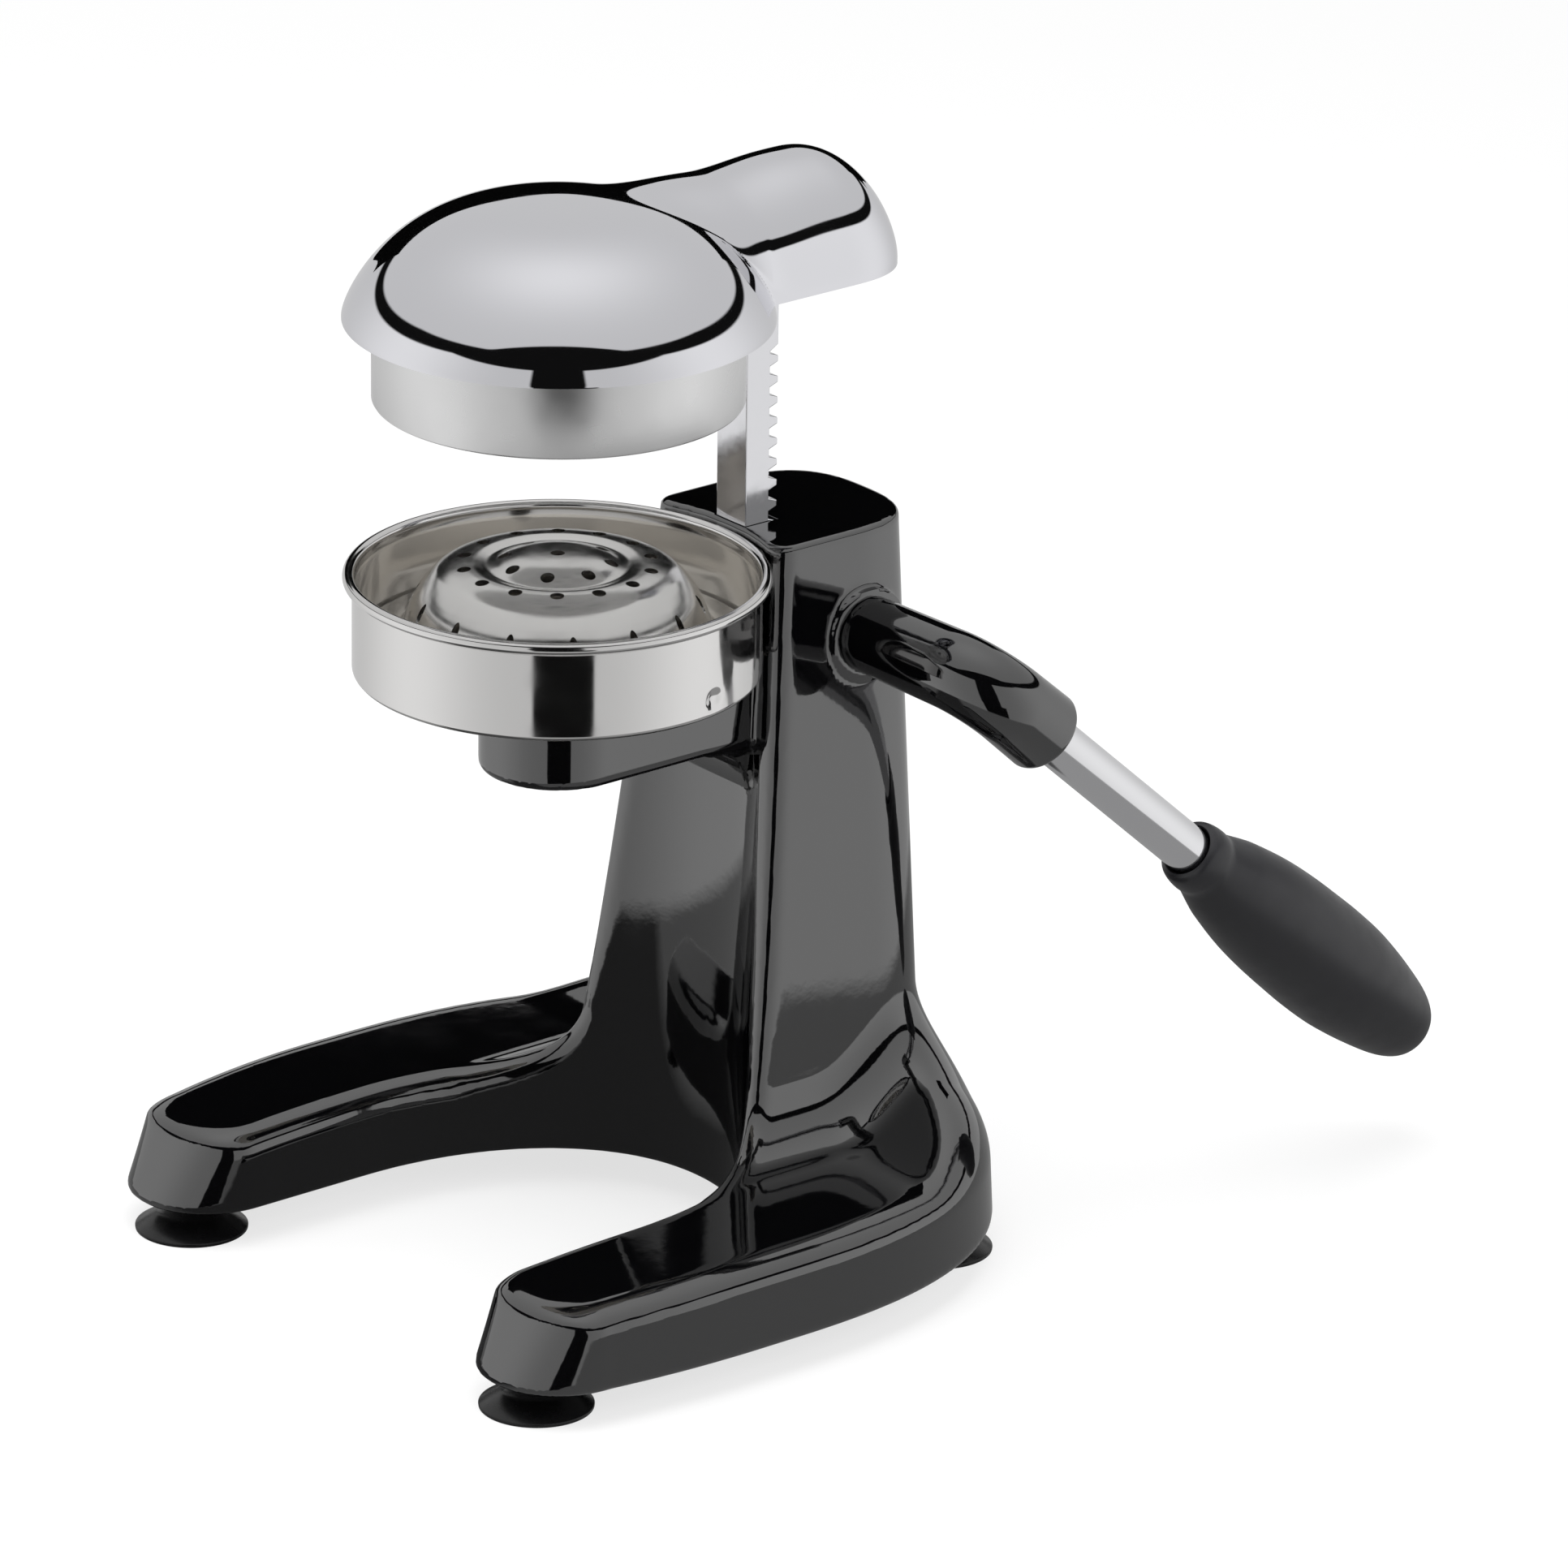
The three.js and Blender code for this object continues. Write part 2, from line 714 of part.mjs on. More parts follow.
// Suction foot: a rubber cup with a stem that is pressed up into the stand
function footSolid([, x, y]) {
  const topZ = base.bottomZ - seatGap;
  const profile = [
    [0, foot.hollow],
    [foot.seatInnerRadius * foot.hollowShare, foot.hollow],
    [foot.seatInnerRadius, 0],
    [foot.radius, 0],
    [foot.radius, foot.rimThickness],
    ...foot.flareShares.map((share, i) => [mix(foot.radius, foot.waistRadius, share), foot.flareZ[i]]),
    [foot.waistRadius, topZ],
    [foot.stemRadius, topZ],
    [foot.stemRadius, base.bottomZ + foot.stemHeight],
    [0, base.bottomZ + foot.stemHeight],
  ];
  return turned(profile, steps.round / 2).translate([x, y, 0]);
}

// Rack and pinion

const flankSlope = Math.tan(THREE.MathUtils.degToRad(rack.flankDegrees));

function rackBar() {
  const toothHalf = rack.pitch / 4 - rack.flankPlay;
  const tipHalf = toothHalf - rack.addendum * flankSlope;
  const rootHalf = toothHalf + rack.dedendum * flankSlope;
  const teethSide = [];
  const firstTooth = Math.ceil((rack.bottomZ + rack.pitch / 2 - axleZ) / rack.pitch);
  const lastTooth = Math.floor((rack.topZ - rack.plainLength - axleZ) / rack.pitch);
  for (let i = firstTooth; i < lastTooth; i += 1) {
    const z = axleZ + rack.toothPhase + (i + 0.5) * rack.pitch;
    teethSide.push([rackRootY, z - rootHalf], [rackTipY, z - tipHalf]);
    teethSide.push([rackTipY, z + tipHalf], [rackRootY, z + rootHalf]);
  }
  const plainZ = axleZ + rack.toothPhase + (lastTooth + rack.plainStartShare) * rack.pitch;
  const edge = rack.frontEdge;
  const outline = [
    [rack.frontY, rack.bottomZ],
    [rackRootY, rack.bottomZ],
    ...teethSide,
    [rackRootY, plainZ],
    [rackTipY, plainZ],
    [rackTipY, rack.topZ],
    [rack.frontY, rack.topZ],
  ];
  const bar = plateAcross(outline, -rack.width / 2, rack.width / 2);
  // The two front edges are broken by a small chamfer.
  const chamfer = (side) => {
    const x = (side * rack.width) / 2;
    const corners = [[x, rack.frontY], [x - side * edge, rack.frontY], [x, rack.frontY + edge]];
    const grown = corners.map(([cx, cy]) => [
      cx + side * (cx === x ? edge : 0),
      cy - (cy === rack.frontY ? edge : 0),
    ]);
    const ringPoints = [corners[1], grown[1], grown[0], grown[2], corners[2]];
    const ordered = side > 0 ? ringPoints : ringPoints.slice().reverse();
    const row = (z) => ordered.map(([cx, cy]) => new THREE.Vector3(cx, cy, z));
    return loft([row(rack.bottomZ - cutOverrun), row(rack.topZ + cutOverrun)]);
  };
  const pinHoles = rackPinPlaces.map(([, z]) =>
    rodAcross(rackPinRadius + seatGap, -rack.width, rack.width, rackPinY, z, steps.hole));
  return cut(bar, chamfer(1), chamfer(-1), ...pinHoles);
}

// Cross pins: two hold the rack in the head, one at its lower end is the upper stop.
const rackPinRadius = 2;
const rackPinY = rack.frontY + rack.bodyDepth / 2;
const rackPinMargin = 5;
const stopPinZ = well.shoulderZ - seatGap - rackPinRadius;
const rackPinPlaces = [
  ['rack_pin_upper', rack.topZ - rackPinMargin],
  ['rack_pin_lower', head.rackBlockBottomZ + rackPinMargin],
  ['rack_stop_pin', stopPinZ],
];

function rackPin([name, z]) {
  const half = name === 'rack_stop_pin' ? well.halfWidth - 2 * seatGap : head.rackBlockHalfWidth;
  return rodAcross(rackPinRadius, -half, half, rackPinY, z, steps.small);
}

// Involute flank: the angle at which the involute of the base circle reaches a radius
const involuteAngle = (radius, baseRadius) => {
  const pressure = Math.acos(Math.min(1, baseRadius / radius));
  return Math.tan(pressure) - pressure;
};

function pinionGear() {
  const baseRadius = pitchRadius * Math.cos(THREE.MathUtils.degToRad(rack.flankDegrees));
  const tipRadius = pitchRadius + pinion.addendum;
  const rootRadius = pitchRadius - pinion.dedendum;
  const halfPitch = Math.PI / (2 * pinion.teeth) - rack.flankPlay / pitchRadius;
  const flank = pinion.flankShares.map((share) => {
    const radius = mix(baseRadius, tipRadius, share);
    const half = halfPitch + involuteAngle(pitchRadius, baseRadius) - involuteAngle(radius, baseRadius);
    return [radius, half];
  });
  const outline = [];
  for (let tooth = 0; tooth < pinion.teeth; tooth += 1) {
    const middle = Math.PI - rack.toothPhase / pitchRadius + (tooth * 2 * Math.PI) / pinion.teeth;
    const at = (radius, angle) => [
      axleY + radius * Math.cos(middle + angle),
      axleZ + radius * Math.sin(middle + angle),
    ];
    outline.push(at(rootRadius, -flank[0][1]));
    flank.forEach(([radius, half]) => outline.push(at(radius, -half)));
    flank.slice().reverse().forEach(([radius, half]) => outline.push(at(radius, half)));
    outline.push(at(rootRadius, flank[0][1]));
  }
  const faceX = pinion.faceWidth / 2;
  const wheel = plateAcross(outline, -faceX, faceX);
  const hub = rodAcross(pinion.hubRadius, 0, hubEndX, axleY, axleZ, steps.bore);
  const bore = rodAcross(shaft.radius + seatGap, -2 * faceX, 2 * hubEndX, axleY, axleZ, steps.bore);
  return cut(join(wheel, hub), bore, pinionPinRod(seatGap));
}

// The hub fills the space up to the right bush; a spacer fills the same space on the left.
const hubEndX = well.halfWidth - bush.flangeThickness - seatGap;
const pinionPinRadius = 1.5;

function pinionPinRod(gap) {
  const x = (pinion.faceWidth / 2 + hubEndX) / 2;
  const half = pinion.hubRadius + gap * cutOverrun;
  return turnedAlong(
    rodProfile(pinionPinRadius + gap, -half, half),
    new THREE.Vector3(x, axleY, axleZ),
    alongY,
    steps.hole,
  );
}

function gearSpacer() {
  const ringRod = rodAcross(
    bush.flangeRadius,
    -hubEndX,
    -pinion.faceWidth / 2 - seatGap,
    axleY,
    axleZ,
    steps.bore,
  );
  const bore = rodAcross(shaft.radius + seatGap, -2 * hubEndX, 0, axleY, axleZ, steps.bore);
  return cut(ringRod, bore);
}

function pinionShaft() {
  const rod = rodAcross(shaft.radius, shaft.leftX, shaft.rightX, axleY, axleZ, steps.bore);
  const thread = rodAcross(
    endScrew.threadRadius + seatGap,
    shaft.leftX - cutOverrun,
    shaft.leftX + endScrew.threadLength,
    axleY,
    axleZ,
  );
  return cut(rod, thread, pinionPinRod(seatGap), elbowSetScrew(seatGap));
}

function bushSolid(side) {
  const innerRadius = shaft.radius + seatGap;
  const outerRadius = innerRadius + bush.wall;
  const startX = well.halfWidth - bush.flangeThickness;
  const profile = [
    [innerRadius, startX],
    [bush.flangeRadius, startX],
    [bush.flangeRadius, well.halfWidth - seatGap],
    [outerRadius, well.halfWidth - seatGap],
    [outerRadius, boss.faceX],
    [innerRadius, boss.faceX],
    [innerRadius, startX],
  ];
  const direction = new THREE.Vector3(side, 0, 0);
  return turnedAlong(profile, axleOrigin, direction, steps.bore);
}

const washerX = shaft.leftX - seatGap - endWasher.thickness;

function endWasherSolid() {
  const disc = rodAcross(
    endWasher.radius,
    washerX,
    washerX + endWasher.thickness,
    axleY,
    axleZ,
    steps.bore,
  );
  const hole = rodAcross(endScrew.threadRadius + seatGap, washerX - cutOverrun, 0, axleY, axleZ);
  return cut(disc, hole);
}

function endScrewSolid() {
  const seatX = washerX - seatGap;
  const headX = seatX - endScrew.headHeight;
  const tipX = shaft.leftX + endScrew.threadLength - seatGap;
  const profile = [
    [0, headX],
    [endScrew.headRadius * screwHead.topShare, headX],
    [endScrew.headRadius, headX + endScrew.headHeight / 2],
    [endScrew.headRadius, seatX],
    [endScrew.threadRadius, seatX],
    [endScrew.threadRadius, tipX],
    [0, tipX],
  ];
  const screw = turnedAlong(profile, axleOrigin, alongX, steps.small);
  const slotHalf = endScrew.headRadius * screwHead.slotHalfShare;
  const slotDepth = endScrew.headHeight * screwHead.slotDepthShare;
  const slot = block(
    [headX - cutOverrun, axleY - 2 * endScrew.headRadius, axleZ - slotHalf],
    [headX + slotDepth, axleY + 2 * endScrew.headRadius, axleZ + slotHalf],
  );
  return cut(screw, slot);
}

// Lever

const leverPoint = (distance, offsetX = 0) =>
  new THREE.Vector3(lever.planeX + offsetX, axleY, axleZ).addScaledVector(leverDirection, distance);

// The elbow runs out along the axle, turns through a quarter circle into the lever's plane and
// ends a little beyond the bend.
class ElbowPath extends THREE.Curve {
  constructor() {
    super();
    this.straight = lever.planeX - lever.bendRadius - boss.faceX - seatGap;
    this.bend = (Math.PI / 2) * lever.bendRadius;
    this.whole = this.straight + this.bend + lever.elbowTail;
  }

  getPoint(share, target = new THREE.Vector3()) {
    const along = share * this.whole;
    const startX = boss.faceX + seatGap;
    if (along <= this.straight) return target.set(startX + along, axleY, axleZ);
    const angle = Math.min((along - this.straight) / lever.bendRadius, Math.PI / 2);
    const tail = Math.max(along - this.straight - this.bend, 0);
    const x = lever.planeX - lever.bendRadius * (1 - Math.sin(angle));
    const distance = lever.bendRadius * (1 - Math.cos(angle)) + tail;
    return target.set(x, axleY, axleZ).addScaledVector(leverDirection, distance);
  }

  // How far along the path a point lies, as a share, and the path's point there
  nearest(point) {
    const out = point.x - (lever.planeX - lever.bendRadius);
    const away = point.clone().sub(axleOrigin).dot(leverDirection);
    const angle = Math.atan2(out, lever.bendRadius - away);
    let along = this.straight + angle * lever.bendRadius;
    if (out <= 0) along = point.x - boss.faceX - seatGap;
    else if (away >= lever.bendRadius) along = this.straight + this.bend + away - lever.bendRadius;
    const share = THREE.MathUtils.clamp(along / this.whole, 0, 1);
    return { share, centre: this.getPoint(share) };
  }
}

// A set screw into the underside of the elbow bites on the shaft, and one on the side towards
// the column bites on the tube.
const downwards = new THREE.Vector3(0, 0, -1);
const inwards = new THREE.Vector3(-1, 0, 0);

function setScrewRod(origin, direction, outerRadius, gap) {
  const tip = outerRadius - setScrew.length - gap;
  const tail = outerRadius + gap * 2 * setScrew.length;
  return turnedAlong(rodProfile(setScrew.radius + gap, tip, tail), origin, direction, steps.hole);
}

function elbowSetScrew(gap) {
  const middle = new THREE.Vector3((boss.faceX + shaft.rightX) / 2, axleY, axleZ);
  return setScrewRod(middle, downwards, lever.elbowBossRadius - seatGap, gap);
}

function tubeSetScrew(gap) {
  const distance = lever.bendRadius + lever.elbowTail / 2;
  return setScrewRod(leverPoint(distance), inwards, lever.elbowEndRadius - 2 * seatGap, gap);
}

function leverElbow() {
  const section = new THREE.Shape();
  section.absarc(0, 0, 1, 0, 2 * Math.PI);
  const path = new ElbowPath();
  const geometry = new THREE.ExtrudeGeometry(section, {
    extrudePath: path,
    steps: steps.elbow,
    curveSegments: steps.elbow / 2,
  });
  // The bar is extruded with a radius of one and then grown to its radius at each place.
  const corners = geometry.attributes.position;
  for (let i = 0; i < corners.count; i += 1) {
    const corner = new THREE.Vector3().fromBufferAttribute(corners, i);
    const { share, centre } = path.nearest(corner);
    const radius = mix(lever.elbowBossRadius, lever.elbowEndRadius, share);
    corner.sub(centre).setLength(radius).add(centre);
    if (corner.distanceTo(centre) > 0) corners.setXYZ(i, corner.x, corner.y, corner.z);
  }
  const bar = solidOf(geometry);
  const shaftBore = rodAcross(
    shaft.radius + seatGap,
    boss.faceX - cutOverrun,
    shaft.rightX + seatGap,
    axleY,
    axleZ,
    steps.bore,
  );
  const endDistance = lever.bendRadius + lever.elbowTail;
  const tubeBore = turnedAlong(
    rodProfile(lever.tubeRadius + seatGap, lever.tubeStart - seatGap, endDistance + cutOverrun),
    leverPoint(0),
    leverDirection,
    steps.bore,
  );
  return cut(bar, shaftBore, tubeBore, elbowSetScrew(seatGap), tubeSetScrew(seatGap));
}

function leverTube() {
  const innerRadius = lever.tubeRadius - lever.tubeWall;
  const end = lever.gripStart + lever.gripBoreDepth - seatGap;
  const profile = [
    [innerRadius, lever.tubeStart],
    [lever.tubeRadius, lever.tubeStart],
    [lever.tubeRadius, end],
    [innerRadius, end],
    [innerRadius, lever.tubeStart],
  ];
  return cut(turnedAlong(profile, leverPoint(0), leverDirection, steps.bore), tubeSetScrew(seatGap));
}

// The grip's profile as shares of its length and of its greatest radius
const gripProfileShares = [
  [0, 0.45], [0, 0.513], [0.025, 0.577], [0.05, 0.597], [0.079, 0.591], [0.105, 0.644], [0.145, 0.72],
  [0.188, 0.792], [0.24, 0.86], [0.297, 0.913], [0.406, 0.973], [0.525, 0.997], [0.584, 1],
  [0.653, 0.985], [0.703, 0.955], [0.802, 0.866], [0.86, 0.797], [0.901, 0.732], [0.96, 0.584],
  [0.983, 0.43], [0.994, 0.26], [1, 0],
];

function leverGrip() {
  const outer = gripProfileShares.map(([lengthShare, radiusShare]) => [
    radiusShare * lever.gripRadius,
    lever.gripStart + lengthShare * lever.gripLength,
  ]);
  outer[0] = [0, lever.gripStart];
  const body = turnedAlong(outer, leverPoint(0), leverDirection, steps.round / 2);
  const bore = turnedAlong(
    rodProfile(
      lever.tubeRadius + seatGap,
      lever.gripStart - cutOverrun,
      lever.gripStart + lever.gripBoreDepth,
    ),
    leverPoint(0),
    leverDirection,
    steps.bore,
  );
  return cut(body, bore);
}

// Head

// The height of the arm's ridge, eased between its stops and level beyond them
function ridgeHeight(y) {
  const [heights, places] = [head.ridgeZ, head.ridgeY];
  return heights.slice(1).reduce((height, next, i) => {
    const share = smoothShare((y - places[i]) / (places[i + 1] - places[i]));
    return height + (next - heights[i]) * share;
  }, heights[0]);
}

// Whether a point lies inside the head's skin. The dome and the arm are heights over the plan,
// each with an exponent of its own across and upwards, drawn in by a wall where the hollow is
// meant. The arm rises out of the dome from its root, and the two are blended by a cubic.
function insideHead(point, inset) {
  const radius = head.radius - inset;
  const away = Math.hypot(point.x, point.y);
  const domeShare = 1 - (away / radius) ** head.domeExponent;
  const end = Math.max(point.y - head.armEndStartY, 0) / (head.armEndY - head.armEndStartY - inset);
  const root = Math.max(head.armRootY - point.y, 0) / head.armRootRun;
  const across = Math.abs(point.x) / (head.armHalfWidth - inset);
  const armShare =
    1 - across ** head.armExponent - end ** head.armEndExponent - root ** head.armRootExponent;
  if (domeShare <= 0 && armShare <= 0) return false;
  const domeHeight = (head.domeHeight - inset) * Math.max(domeShare, 0) ** (1 / head.domeHeightExponent);
  const dome = head.domeBaseZ + domeHeight - head.domeFade * Math.max(away - radius, 0);
  if (armShare <= 0) return point.z < dome;
  const ridge = ridgeHeight(point.y) - head.armBaseZ - inset;
  const arm = head.armBaseZ + ridge * armShare ** (1 / head.armHeightExponent);
  const near = Math.max(head.blend - Math.abs(dome - arm), 0) / head.blend;
  return point.z < Math.max(dome, arm) + (near ** 3 * head.blend) / 6;
}

// The head's skin is found along rays from a point low in its middle.
function headShell(inset) {
  const origin = new THREE.Vector3(0, head.centreY, head.rimZ - (inset > 0 ? cutOverrun : 0));
  const reach = 2 * head.radius;
  const surfacePoint = (turn, climb) => {
    const direction = new THREE.Vector3(
      Math.cos(climb) * Math.cos(turn),
      Math.cos(climb) * Math.sin(turn),
      Math.sin(climb),
    );
    let [near, far] = [0, reach];
    for (let i = 0; i < steps.headSearch; i += 1) {
      const middle = (near + far) / 2;
      const point = origin.clone().addScaledVector(direction, middle);
      if (insideHead(point, inset)) near = middle;
      else far = middle;
    }
    return origin.clone().addScaledVector(direction, near);
  };
  const rows = [];
  for (let row = 0; row < steps.headRise; row += 1) {
    const climb = ((row / steps.headRise) ** steps.headCrowding) * (Math.PI / 2);
    rows.push(Array.from({ length: steps.headRound }, (_, i) =>
      surfacePoint((i / steps.headRound) * 2 * Math.PI, climb)));
  }
  return loft(rows);
}

function headCasting() {
  const hollow = headShell(head.wall);
  const outer = headShell(0);
  const blockHalf = head.rackBlockHalfWidth;
  const rackBlock = block(
    [-blockHalf, rack.frontY - head.rackBlockWall, head.rackBlockBottomZ],
    [blockHalf, rackTipY + head.rackBlockWall, head.armBaseZ + head.domeHeight],
  );
  const screwBoss = turned(
    rodProfile(head.screwBossRadius, ring.topZ + seatGap, head.domeBaseZ + head.domeHeight),
    steps.small,
  );
  const inside = join(rackBlock, screwBoss).intersect(outer);
  const wayHalf = rack.width / 2 + seatGap;
  const rackWay = block(
    [-wayHalf, rack.frontY - seatGap, head.rimZ - cutOverrun],
    [wayHalf, rackTipY + seatGap, rack.topZ + seatGap],
  );
  const threadHole = turned(
    rodProfile(
      ringScrew.threadRadius + seatGap,
      ring.topZ,
      ring.topZ + ringScrew.threadLength + 2 * seatGap,
    ),
    steps.small,
  );
  const pinHoles = rackPinPlaces.slice(0, 2).map(([, z]) =>
    rodAcross(rackPinRadius + seatGap, -blockHalf - cutOverrun, blockHalf + cutOverrun, rackPinY, z, steps.hole));
  return cut(join(cut(outer, hollow), inside), rackWay, threadHole, ...pinHoles);
}

// The press ring is a drawn bell: a straight wall, a rounded shoulder inside the head and a
// flat crown that the screw holds.
function pressRing() {
  const arc = (radius, inset) => quarter(steps.corner).map((angle) => [
    ringRadius - inset - (radius - radius * Math.cos(angle)),
    ring.topZ - inset - (radius - radius * Math.sin(angle)),
  ]);
  const outerRadius = ring.topZ - ring.shoulderZ;
  const innerRadius = outerRadius - ring.wall;
  const outer = arc(outerRadius, 0);
  const inner = arc(innerRadius, ring.wall).reverse();
  const profile = [
    [ringRadius - ring.wall, ring.bottomZ + ring.lipRadius / 2],
    [ringRadius - ring.wall, ring.bottomZ],
    [ringRadius - ring.wall * ring.lipWallShare, ring.bottomZ],
    [ringRadius, ring.bottomZ + ring.lipRadius / 2],
    ...outer,
    [0, ring.topZ],
    [0, ring.topZ - ring.wall],
    ...inner,
    [ringRadius - ring.wall, ring.bottomZ + ring.lipRadius / 2],
  ];
  const hole = turned(
    rodProfile(ringScrew.threadRadius + seatGap, ring.topZ - ring.wall - cutOverrun, ring.topZ + cutOverrun),
    steps.small,
  );
  return cut(turned(profile), hole);
}

function pressRingScrew() {
  const seatZ = ring.topZ - ring.wall - seatGap;
  const headZ = seatZ - ringScrew.headHeight;
  const profile = [
    [0, headZ],
    [ringScrew.headRadius * screwHead.topShare, headZ],
    [ringScrew.headRadius, headZ + ringScrew.headHeight / 2],
    [ringScrew.headRadius, seatZ],
    [ringScrew.threadRadius, seatZ],
    [ringScrew.threadRadius, ring.topZ + ringScrew.threadLength],
    [0, ring.topZ + ringScrew.threadLength],
  ];
  const slotHalf = ringScrew.headRadius * screwHead.slotHalfShare;
  const slotDepth = ringScrew.headHeight * screwHead.slotDepthShare;
  const slot = block(
    [-2 * ringScrew.headRadius, -slotHalf, headZ - cutOverrun],
    [2 * ringScrew.headRadius, slotHalf, headZ + slotDepth],
  );
  return cut(turned(profile, steps.small), slot);
}

// Juice cup: floor with a collar and spout, rounded corner, straight wall, rolled rim
function juiceCup() {
  const floorZ = cup.bottomZ + cup.wall;
  const innerRadius = cup.wallRadius - cup.wall;
  const corner = (radius, wallRadius, bottomZ) => quarter(steps.cupCorner).map((angle) => [
    wallRadius - radius + radius * Math.sin(angle),
    bottomZ + radius - radius * Math.cos(angle),
  ]);
  const beadRadius = cup.rimRadius - cup.beadRadius;
  const beadZ = cup.rimZ - cup.beadRadius;
  const bead = Array.from({ length: steps.bead + 1 }, (_, i) => {
    const degrees = mix(cup.beadStartDegrees, cup.beadEndDegrees, i / steps.bead);
    const angle = THREE.MathUtils.degToRad(degrees);
    return [beadRadius + cup.beadRadius * Math.cos(angle), beadZ + cup.beadRadius * Math.sin(angle)];
  });
  const collarZ = cup.bottomZ - cup.collarDrop;
  const spoutZ = cup.bottomZ - cup.spoutConeDrop;
  const slopeLift = cup.wall * cup.slopeWallShare;
  const profile = [
    [cup.spoutRadius, cup.spoutBottomZ],
    [cup.spoutRadius, spoutZ],
    [cup.collarRadius, collarZ],
    [cup.collarRadius, cup.bottomZ],
    ...corner(cup.cornerRadius, cup.wallRadius, cup.bottomZ),
    ...bead,
    ...corner(cup.cornerRadius - cup.wall, innerRadius, floorZ).reverse(),
    [cup.collarRadius - cup.wall, floorZ],
    [cup.collarRadius - cup.wall, collarZ + slopeLift],
    [cup.spoutRadius - cup.wall, spoutZ + slopeLift],
    [cup.spoutRadius - cup.wall, cup.spoutBottomZ],
    [cup.spoutRadius, cup.spoutBottomZ],
  ];
  let bowl = turned(profile);
  for (let i = 0; i < cup.dimpleCount; i += 1) {
    const angle = THREE.MathUtils.degToRad(cup.dimpleDegrees) + (i * 2 * Math.PI) / cup.dimpleCount;
    const reach = cup.wallRadius - cup.dimpleReach + cup.dimpleRadius;
    const centre = [reach * Math.cos(angle), reach * Math.sin(angle), cup.dimpleZ];
    const ball = (radius) =>
      solidOf(new THREE.SphereGeometry(radius, steps.small, steps.small / 2)).translate(centre);
    const inside = turned(rodProfile(cup.wallRadius - cup.wall / 2, floorZ, beadZ));
    bowl = bowl.add(ball(cup.dimpleRadius).intersect(inside)).subtract(ball(cup.dimpleRadius - cup.wall));
  }
  return bowl;
}

// A point between two, by one share for the way out and one for the height
const between = (from, to, [wayShare, heightShare]) => [
  mix(from[0], to[0], wayShare),
  mix(from[1], to[1], heightShare),
];

// The strainer's upper profile, from the middle outwards
const strainerProfile = () => [
  [0, strainer.centreZ],
  [strainer.plateauRadius / 2, mix(strainer.plateauZ, strainer.centreZ, strainer.plateauHeightShare)],
  [strainer.plateauRadius, strainer.plateauZ],
  [strainer.innerHoleRingRadius, mix(strainer.valleyZ, strainer.plateauZ, strainer.valleyHeightShare)],
  [strainer.valleyRadius, strainer.valleyZ],
  between(
    [strainer.valleyRadius, strainer.valleyZ],
    [strainer.crestRadius, strainer.crestZ],
    strainer.crestInShares,
  ),
  [strainer.crestRadius, strainer.crestZ],
  between(
    [strainer.crestRadius, strainer.shoulderZ],
    [strainer.shoulderRadius, strainer.crestZ],
    strainer.crestOutShares,
  ),
  [strainer.shoulderRadius, strainer.shoulderZ],
  ...strainer.wallWayShares.map((way, i) => [
    mix(strainer.shoulderRadius, strainer.footRadius, way),
    mix(strainer.flangeZ, strainer.shoulderZ, strainer.wallHeightShares[i]),
  ]),
  [strainer.footRadius, strainer.flangeZ + strainer.footRise],
  [strainer.footRadius + 2 * strainer.wall, strainer.flangeZ],
  [strainer.flangeRadius, strainer.flangeZ],
];

function strainerDome() {
  const upper = strainerProfile();
  const lower = upper.map(([radius, z], i) => {
    const next = upper[Math.min(i + 1, upper.length - 1)];
    const last = upper[Math.max(i - 1, 0)];
    const along = new THREE.Vector2(next[0] - last[0], next[1] - last[1]).normalize();
    const inward = i === 0 ? 0 : along.y * strainer.wall;
    const down = i === 0 ? strainer.wall : along.x * strainer.wall;
    return [Math.max(radius + inward, 0), z - down];
  }).reverse();
  const dome = turned([...upper, ...lower], steps.round - steps.corner);
  const cutters = [];
  const highZ = strainer.centreZ + cutOverrun;
  const drill = (radius, ringRadius, count, lowZ) => {
    for (let i = 0; i < count; i += 1) {
      const angle = ((i + 0.5) * 2 * Math.PI) / count;
      const hole = turned(rodProfile(radius, lowZ, highZ), steps.hole);
      cutters.push(hole.translate([ringRadius * Math.cos(angle), ringRadius * Math.sin(angle), 0]));
    }
  };
  const lowZ = strainer.valleyZ - 4 * strainer.wall;
  drill(strainer.centreHoleRadius, 0, 1, lowZ);
  drill(strainer.holeRadius, strainer.innerHoleRingRadius, strainer.innerHoles, lowZ);
  drill(strainer.holeRadius, strainer.outerHoleRingRadius, strainer.outerHoles, lowZ);
  const slotGeometry = new THREE.BoxGeometry(
    strainer.footRadius - strainer.shoulderRadius,
    strainer.slotWidth,
    strainer.slotHeight,
  );
  for (let i = 0; i < strainer.slots; i += 1) {
    const angle = ((i + 0.5) * 2 * Math.PI) / strainer.slots;
    const geometry = slotGeometry.clone();
    geometry.translate((strainer.footRadius + strainer.shoulderRadius) / 2, 0, strainer.slotZ);
    geometry.rotateZ(angle);
    cutters.push(solidOf(geometry));
  }
  return cut(dome, ...cutters);
}

// Assembly
const press = new THREE.Group();
function addPiece(name, solid, material) {
  const mesh = new THREE.Mesh(geometryOf(solid), material);
  mesh.name = name;
  press.add(mesh);
}

